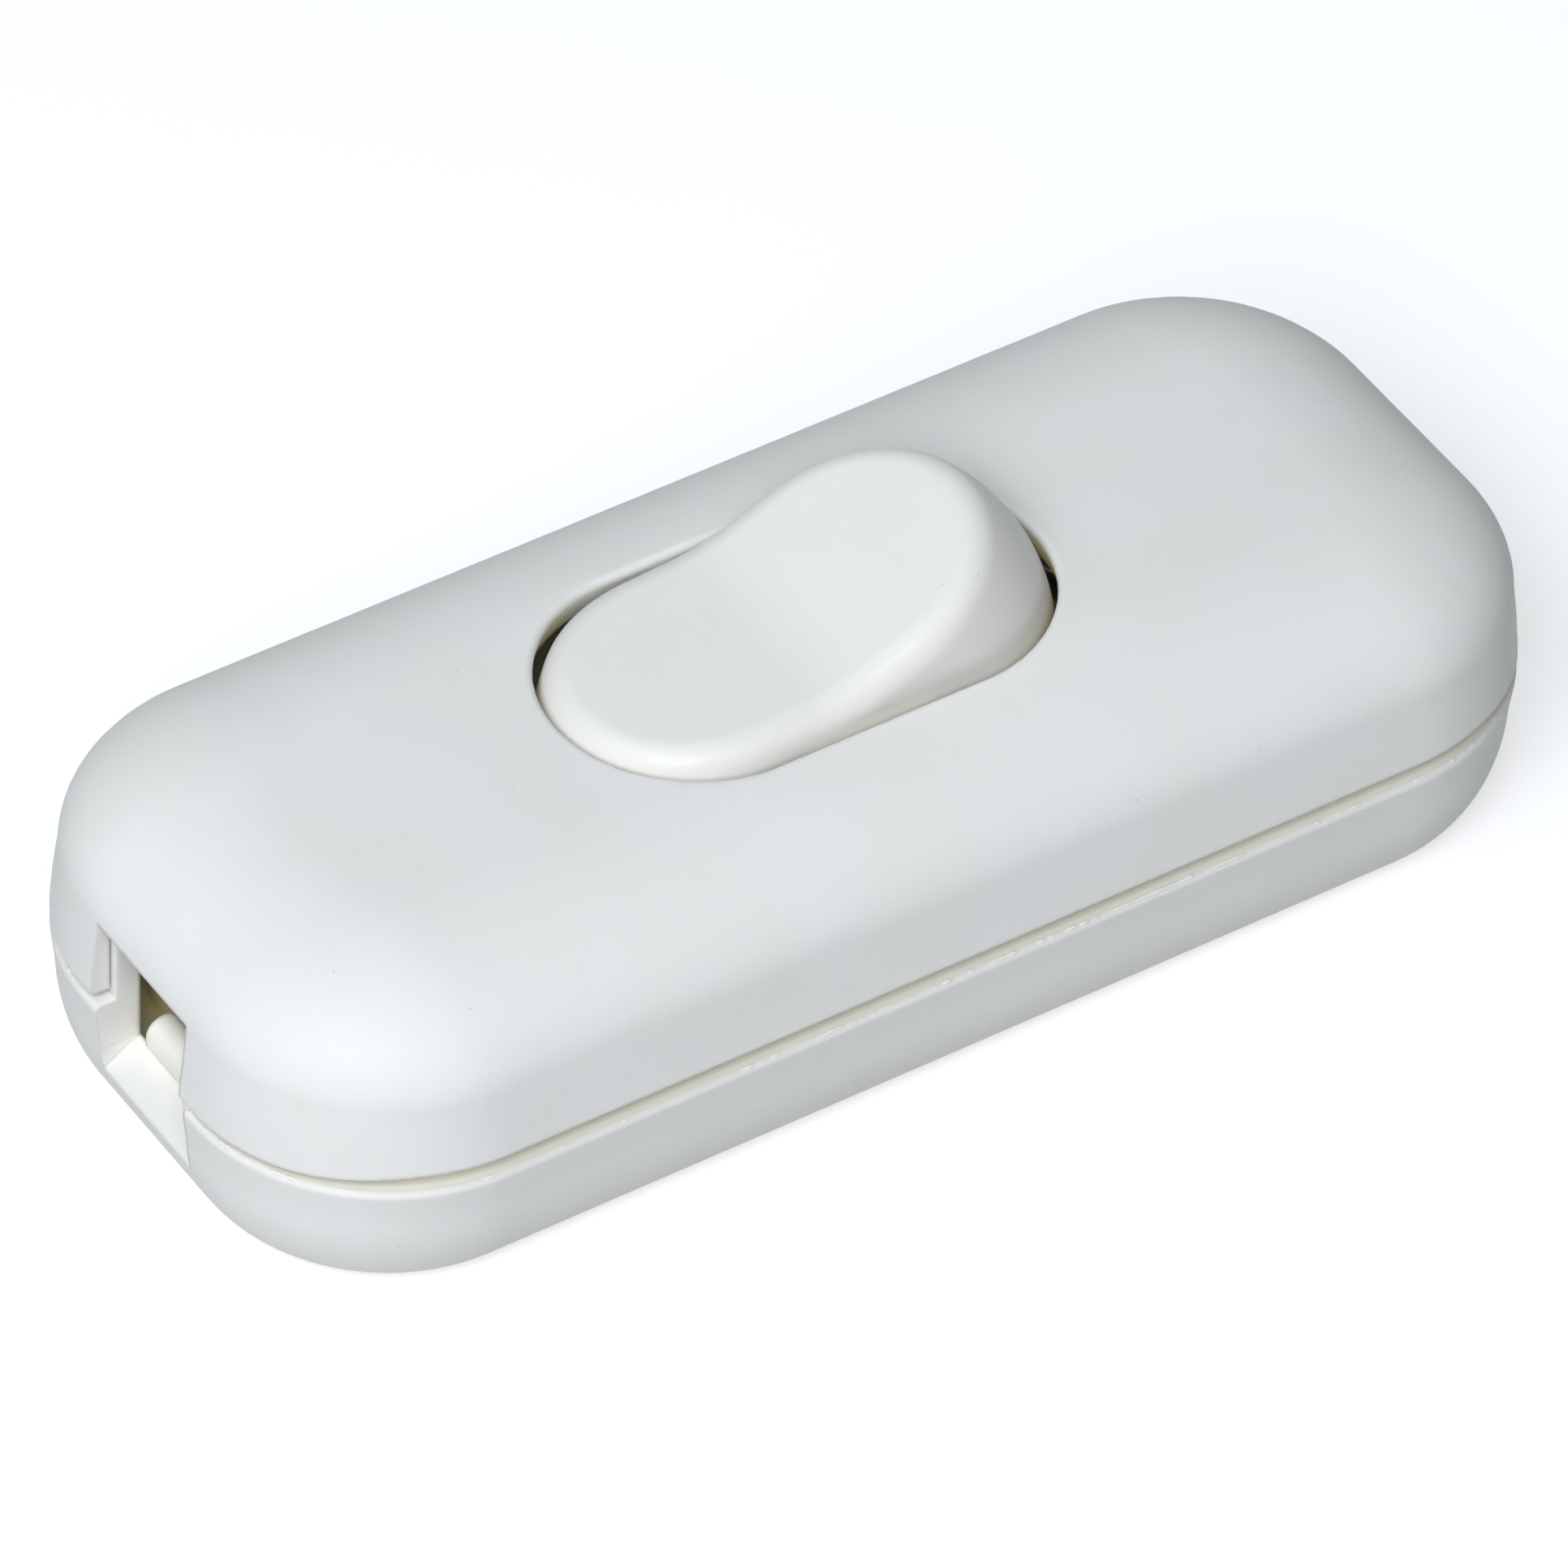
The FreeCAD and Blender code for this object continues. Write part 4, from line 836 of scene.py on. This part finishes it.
# %% [markdown]
# ## Flash along the parting line
# Where two halves of a mould meet, a little plastic creeps out and leaves a ragged bead, here
# along both edges of the groove. It follows a path, so Geometry Nodes lay it: a rounded
# rectangle is divided into many points, noise moves and thickens them, and a small round profile
# is swept along. The bead thins out to nothing where the cord inlets break the edge.

# %% Lay the flash
FLASH_POINTS = 1400
FLASH_SIDES = 6
CORNER_STEPS = 24
FINE_NOISE = 2200.0
SLOW_NOISE = 400.0
FINE_SHARE = 0.6
NOISE_MIDDLE = 0.5
THIN_SHARE = 0.15
THICK_BAND = (0.34, 0.66)
INLET_HALF = 4.0 * MM
INLET_TAPER = 0.6 * MM
BEAD_WELD = 0.004 * MM
BASE_EDGE = 6.47 * MM


def flash_tree():
    """A ragged bead along a rounded rectangle that dips towards its ends."""
    numbers = ("Length", "Width", "Corner", "Level", "Dip", "Bead", "Waver", "Seed")
    inputs = {label: "Float" for label in numbers} | {"Material": "Material"}
    group, tree, given, names = new_geometry_tree("parting_flash", inputs)
    sides = {"Width": given.out("Length"), "Height": given.out("Width")}
    oblong = tree.node("GeometryNodeCurvePrimitiveQuadrilateral", None, sides)
    bends = {"Curve": oblong, "Count": CORNER_STEPS, "Radius": given.out("Corner")}
    rounded = tree.node("GeometryNodeFilletCurve", {"mode": "POLY"}, bends)
    steps = {"Curve": rounded, "Count": FLASH_POINTS}
    path = tree.node("GeometryNodeResampleCurve", None, steps)
    place = tree.node("GeometryNodeInputPosition")
    spot = tree.node("ShaderNodeSeparateXYZ", None, {0: place})
    along = spot.maths("ABSOLUTE", spot)
    across = spot.maths("ABSOLUTE", spot.out("Y"))
    plan = tree.node("ShaderNodeCombineXYZ", None, {"X": spot, "Y": spot.out("Y")})

    def seeded_noise(scale):
        sockets = {"Vector": plan, "W": given.out("Seed"), "Scale": scale}
        return tree.node("ShaderNodeTexNoise", {"noise_dimensions": "4D"}, sockets)

    ragged = FINE_SHARE * seeded_noise(FINE_NOISE) + (1 - FINE_SHARE) * seeded_noise(SLOW_NOISE)
    sink = given.out("Dip") * along.step(DIP_START, DIP_END)
    height = given.out("Level") - sink + given.out("Waver") * (ragged - NOISE_MIDDLE)
    lifted = {"Geometry": path, "Offset": on_axis(tree, height)}
    laid = tree.node("GeometryNodeSetPosition", None, lifted)
    taper = across.step(INLET_HALF, INLET_HALF + INLET_TAPER)
    swelling = THIN_SHARE + (1 - THIN_SHARE) * ragged.step(*THICK_BAND)
    circle = {"Resolution": FLASH_SIDES, "Radius": 1.0}
    ring = tree.node("GeometryNodeCurvePrimitiveCircle", None, circle)
    sweep = {"Curve": laid, "Profile Curve": ring, "Scale": given.out("Bead") * taper * swelling}
    bead = tree.node("GeometryNodeCurveToMesh", None, sweep)
    at_inlet = {"Geometry": bead, "Selection": across < INLET_HALF}
    kept = tree.node("GeometryNodeDeleteGeometry", {"domain": "FACE"}, at_inlet)
    weld = {"Geometry": kept, "Distance": BEAD_WELD}
    closed = tree.node("GeometryNodeMergeByDistance", None, weld)
    finish_tree(tree, closed, given.out("Material"))
    return group, names


def run_tree(name, mesh, group, names, values):
    """A piece made by a geometry tree on a mesh, turned into a plain mesh."""
    piece = bpy.data.objects.new(name, mesh)
    bpy.context.scene.collection.objects.link(piece)
    nodes = piece.modifiers.new(name, "NODES")
    nodes.node_group = group
    for label, value in values.items():
        nodes[names[label]] = value
    plain_mesh(piece)
    return piece


# inset from the outline, level, dip at the ends, seed, thickness of the bead, waver up and down
FLASH_EDGES = {
    "cover_flash": (0.28 * MM, COVER_EDGE, DIP, 3.0, 0.12 * MM, 0.45 * MM),
    "base_flash": (0.17 * MM, BASE_EDGE, 0.0, 8.0, 0.12 * MM, 0.25 * MM),
}
flash_group, flash_inputs = flash_tree()
for name, (inset, level, dip, seed, bead, waver) in FLASH_EDGES.items():
    sizes = {
        "Length": 2 * (HALF_LENGTH - inset),
        "Width": 2 * (HALF_WIDTH - inset),
        "Corner": CORNER - inset,
        "Level": level,
        "Dip": dip,
        "Bead": bead,
        "Waver": waver,
        "Seed": seed,
        "Material": FLASH,
    }
    flash = run_tree(name, bpy.data.meshes.new(name), flash_group, flash_inputs, sizes)
    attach(flash, "housing")
    print(name, len(flash.data.polygons), "faces")

# %% [markdown]
# ## A torn burr at the left inlet
# Where the near wall of the left trough meets the groove, a scrap of flash was torn and left a thin
# flake standing up. A flake has no path to follow, so it is the hull of a few points round the
# corner of the trough, given as steps from that corner.

# %% Leave the burr
BURR_THICKNESS = 0.10 * MM
BURR_INSET = 0.14 * MM
BURR_LEVEL = 6.55 * MM
# steps across and up from the corner, in millimetres, round the outline of the flake
BURR_STEPS = [
    (-0.22, -0.12),
    (0.02, -0.38),
    (0.20, -0.10),
    (0.26, 0.22),
    (0.12, 0.16),
    (0.02, 0.30),
    (-0.14, 0.08),
]
burr_corner = Vector((-HALF_LENGTH + BURR_INSET, TROUGH_NEAR, BURR_LEVEL))
edit = bmesh.new()
for across, rise in BURR_STEPS:
    for inward in (0.0, BURR_THICKNESS):
        edit.verts.new(burr_corner + Vector((inward, across * MM, rise * MM)))
hull = bmesh.ops.convex_hull(edit, input=edit.verts)
inner = [item for item in hull["geom_interior"] if isinstance(item, bmesh.types.BMVert)]
bmesh.ops.delete(edit, geom=inner, context="VERTS")
bmesh.ops.recalc_face_normals(edit, faces=edit.faces)
burr = as_piece("inlet_burr", edit)
burr.data.materials.append(FLASH)
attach(burr, "housing")
print("burr", len(burr.data.polygons), "faces")

# %% [markdown]
# ## Threaded screws
# The frame's screws are plain pins with a slotted head, which is enough to test the fits. Real ones
# have a thread and a softly turned head. A lathe in Geometry Nodes is a straight line swept with a
# circle, whose radius is a rule of the height. The thread is a spiral swept with a triangle, and the
# slot is cut out of the head. One tree makes all the screws, on a point for each screw of the frame.

# %% Turn the screws
HEAD_EDGE = 0.35 * MM
SLOT_WIDTH = 0.7 * MM
SLOT_DEPTH = 0.7 * MM
SLOT_REACH = 3
THREAD_PITCH = 0.5 * MM
THREAD_DEPTH = 0.24 * MM
POINT_LENGTH = 2 * THREAD_DEPTH
BARE_LENGTH = 3 * THREAD_DEPTH
LATHE_STEPS = 28
ROUND_STEPS = 40
SPIRAL_STEPS = 24
RIDGE_SIDES = 3


def turned(tree, low, high, radius):
    """A lathe: a line from one height to another, whose radius is a rule of the height."""
    ends = {"Start": on_axis(tree, low), "End": on_axis(tree, high)}
    line = tree.node("GeometryNodeCurvePrimitiveLine", None, ends)
    steps = tree.node("GeometryNodeResampleCurve", None, {"Curve": line, "Count": LATHE_STEPS})
    place = tree.node("GeometryNodeInputPosition")
    height = tree.node("ShaderNodeSeparateXYZ", None, {0: place}, output="Z")
    circle = {"Resolution": ROUND_STEPS, "Radius": 1.0}
    ring = tree.node("GeometryNodeCurvePrimitiveCircle", None, circle)
    sweep = {"Curve": steps, "Profile Curve": ring, "Scale": radius(height), "Fill Caps": True}
    return tree.node("GeometryNodeCurveToMesh", None, sweep)


def slotted_head(tree, half, high):
    """A head with a rounded upper edge and a slot across it."""

    def radius(height):
        over = height - (high - HEAD_EDGE)
        over = over.maths("MAXIMUM", over, 0.0)
        return half - HEAD_EDGE + over.maths("SQRT", HEAD_EDGE * HEAD_EDGE - over * over)

    head = turned(tree, 0.0, high, radius)
    sides = {"X": half * SLOT_REACH, "Y": SLOT_WIDTH, "Z": 2 * SLOT_DEPTH}
    size = tree.node("ShaderNodeCombineXYZ", None, sides)
    cube = tree.node("GeometryNodeMeshCube", None, {"Size": size})
    lifted = {"Geometry": cube, "Translation": on_axis(tree, high)}
    slot = tree.node("GeometryNodeTransform", None, lifted)
    cut = {"operation": "DIFFERENCE", "solver": "EXACT"}
    slotted = tree.node("GeometryNodeMeshBoolean", cut, {"Mesh 1": head, "Mesh 2": slot})
    return smooth_edges(tree, slotted, SMOOTH_ANGLE)


def threaded_pin(tree, core, shank, top):
    """A pointed pin that ends inside the head, and the ridge that winds round it."""

    def radius(height):
        point = core - POINT_LENGTH + height + shank
        return point.maths("MINIMUM", point, core)

    pin = turned(tree, 0 - shank, top, radius)
    run = shank - BARE_LENGTH
    winding = {"Resolution": SPIRAL_STEPS, "Rotations": run / THREAD_PITCH, "Height": run}
    winding |= {"Start Radius": core, "End Radius": core}
    spiral = tree.node("GeometryNodeCurveSpiral", None, winding)
    upright = tree.node("GeometryNodeSetCurveNormal", {"mode": "Z_UP"}, {"Curve": spiral})
    triangle = {"Resolution": RIDGE_SIDES, "Radius": THREAD_DEPTH}
    ridge = tree.node("GeometryNodeCurvePrimitiveCircle", None, triangle)
    sweep = {"Curve": upright, "Profile Curve": ridge, "Fill Caps": True}
    wound = tree.node("GeometryNodeCurveToMesh", None, sweep)
    lowered = {"Geometry": wound, "Translation": on_axis(tree, POINT_LENGTH - shank)}
    return pin, tree.node("GeometryNodeTransform", None, lowered)


def screw_tree():
    """A slotted, threaded screw on each point, with its head above the point or below it."""
    numbers = ("Thread", "Shank", "Head", "Head Height", "Turn Over")
    inputs = {label: "Float" for label in numbers} | {"Seed": "Int", "Material": "Material"}
    group, tree, given, names = new_geometry_tree("slotted_screw", inputs)
    head_high = given.out("Head Height")
    head = slotted_head(tree, given.out("Head") * 0.5, head_high)
    core = given.out("Thread") * 0.5 - THREAD_DEPTH
    pin, thread = threaded_pin(tree, core, given.out("Shank"), 0.5 * head_high)
    whole = tree.node("GeometryNodeJoinGeometry", None, {"Geometry": [head, pin, thread]})
    draw = {"Min": 0.0, "Max": math.pi, "Seed": given.out("Seed")}
    angle = tree.node("FunctionNodeRandomValue", {"data_type": "FLOAT"}, draw, output="Value")
    twist = {"X": given.out("Turn Over"), "Z": angle}
    turning = tree.node("ShaderNodeCombineXYZ", None, twist)
    seated = {"Points": given, "Instance": whole, "Rotation": turning}
    set_out = tree.node("GeometryNodeInstanceOnPoints", None, seated)
    finish_tree(tree, set_out, given.out("Material"))
    return group, names


def solid_boxes(node):
    """The lowest and highest corner of each separate solid of a node."""
    edit = bmesh.new()
    edit.from_mesh(frame["nodes"][node].data)
    bmesh.ops.remove_doubles(edit, verts=edit.verts, dist=WELD_GAP)
    waiting = set(edit.verts)
    boxes = []
    while waiting:
        solid = [waiting.pop()]
        for corner in solid:
            near = {edge.other_vert(corner) for edge in corner.link_edges} & waiting
            waiting -= near
            solid.extend(near)
        low = [min(corner.co[k] for corner in solid) for k in range(3)]
        high = [max(corner.co[k] for corner in solid) for k in range(3)]
        boxes.append((low, high))
    edit.free()
    return sorted(boxes)


# thread, length of the shank, width of the head, height of the head, whether the head is below
SCREWS = {
    "terminal_screws": (3.0 * MM, 2.0 * MM, 4.4 * MM, 1.6 * MM, False),
    "clamp_screws": (2.2 * MM, 4.6 * MM, 3.8 * MM, 1.4 * MM, False),
    "case_screws": (3.0 * MM, 7.5 * MM, 5.4 * MM, 2.0 * MM, True),
}
screw_group, screw_inputs = screw_tree()
for node, (thread, shank, head, head_height, head_down) in SCREWS.items():
    seats = []
    for low, high in solid_boxes(node):
        seat = low[2] + head_height if head_down else high[2] - head_height
        seats.append(((low[0] + high[0]) / 2, (low[1] + high[1]) / 2, seat))
    points = bpy.data.meshes.new(node + "_points")
    points.from_pydata(seats, [], [])
    sizes = {
        "Thread": thread,
        "Shank": shank,
        "Head": head,
        "Head Height": head_height,
        "Turn Over": math.pi if head_down else 0.0,
        "Seed": len(seats),
        "Material": ZINC,
    }
    screws = run_tree(node + "_threaded", points, screw_group, screw_inputs, sizes)
    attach(screws, "housing")
    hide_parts(node)
    print(screws.name, len(seats), "screws,", len(screws.data.polygons), "faces")

# %% [markdown]
# ## The plunger's spring
# A small coil spring inside the rocker pushes the plunger out, and it shortens when the plunger is
# pressed in. A rigid spring would be cut by the plunger. It is a spiral swept with a round wire, and
# the diameter, the wire and the length are measured on the frame's own spring.

# %% Wind the spring
SPRING_TURNS = 4.0
SPRING_STEPS = 48
WIRE_SIDES = 14


def spring_tree():
    """A coil spring that stands on the origin."""
    numbers = ("Coil", "Wire", "Height", "Turns")
    inputs = {label: "Float" for label in numbers} | {"Material": "Material"}
    group, tree, given, names = new_geometry_tree("coil_spring", inputs)
    coil = given.out("Coil")
    winding = {"Resolution": SPRING_STEPS, "Rotations": given.out("Turns")}
    winding |= {"Start Radius": coil, "End Radius": coil, "Height": given.out("Height")}
    spiral = tree.node("GeometryNodeCurveSpiral", None, winding)
    circle = {"Resolution": WIRE_SIDES, "Radius": given.out("Wire") * 0.5}
    ring = tree.node("GeometryNodeCurvePrimitiveCircle", None, circle)
    sweep = {"Curve": spiral, "Profile Curve": ring, "Fill Caps": True}
    wound = tree.node("GeometryNodeCurveToMesh", None, sweep)
    finish_tree(tree, wound, given.out("Material"))
    return group, names


joints = {joint["name"]: joint for joint in frame["joints"]}
slide = Vector(joints["plunger_slide"]["axis"]).normalized()
travel = joints["plunger_slide"]["range_m"][1]
pivot = Vector(joints["rocker_pivot"]["pos_m"])
corners = [corner.co - pivot for corner in frame["nodes"]["plunger_spring"].data.vertices]
heights = [corner.dot(slide) for corner in corners]
radii = [(corner - slide * corner.dot(slide)).length for corner in corners]
wire = max(radii) - min(radii)
sizes = {
    "Coil": (max(radii) + min(radii)) / 2,
    "Wire": wire,
    "Height": max(heights) - min(heights) - wire,
    "Turns": SPRING_TURNS,
    "Material": WIRE_STEEL,
}
spring_group, spring_inputs = spring_tree()
blank = bpy.data.meshes.new("coil_spring")
spring = run_tree("coil_spring", blank, spring_group, spring_inputs, sizes)
foot = pivot + slide * (min(heights) + wire / 2)
lean = slide.to_track_quat("Z", "Y").to_matrix().to_4x4()
spring.data.transform(Matrix.Translation(foot) @ lean)
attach(spring, "rocker")
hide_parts("plunger_spring")
spring_length = max(heights) - min(heights)
tuple(pivot + slide * max(heights))
1 - travel / spring_length
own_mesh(spring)
print("spring", round(spring_length / MM, 2), "mm long,", len(spring.data.polygons), "faces")

# %% Measure the visual size
low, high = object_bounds()
print("visual size in mm:", [round(v / MM, 3) for v in high - low])
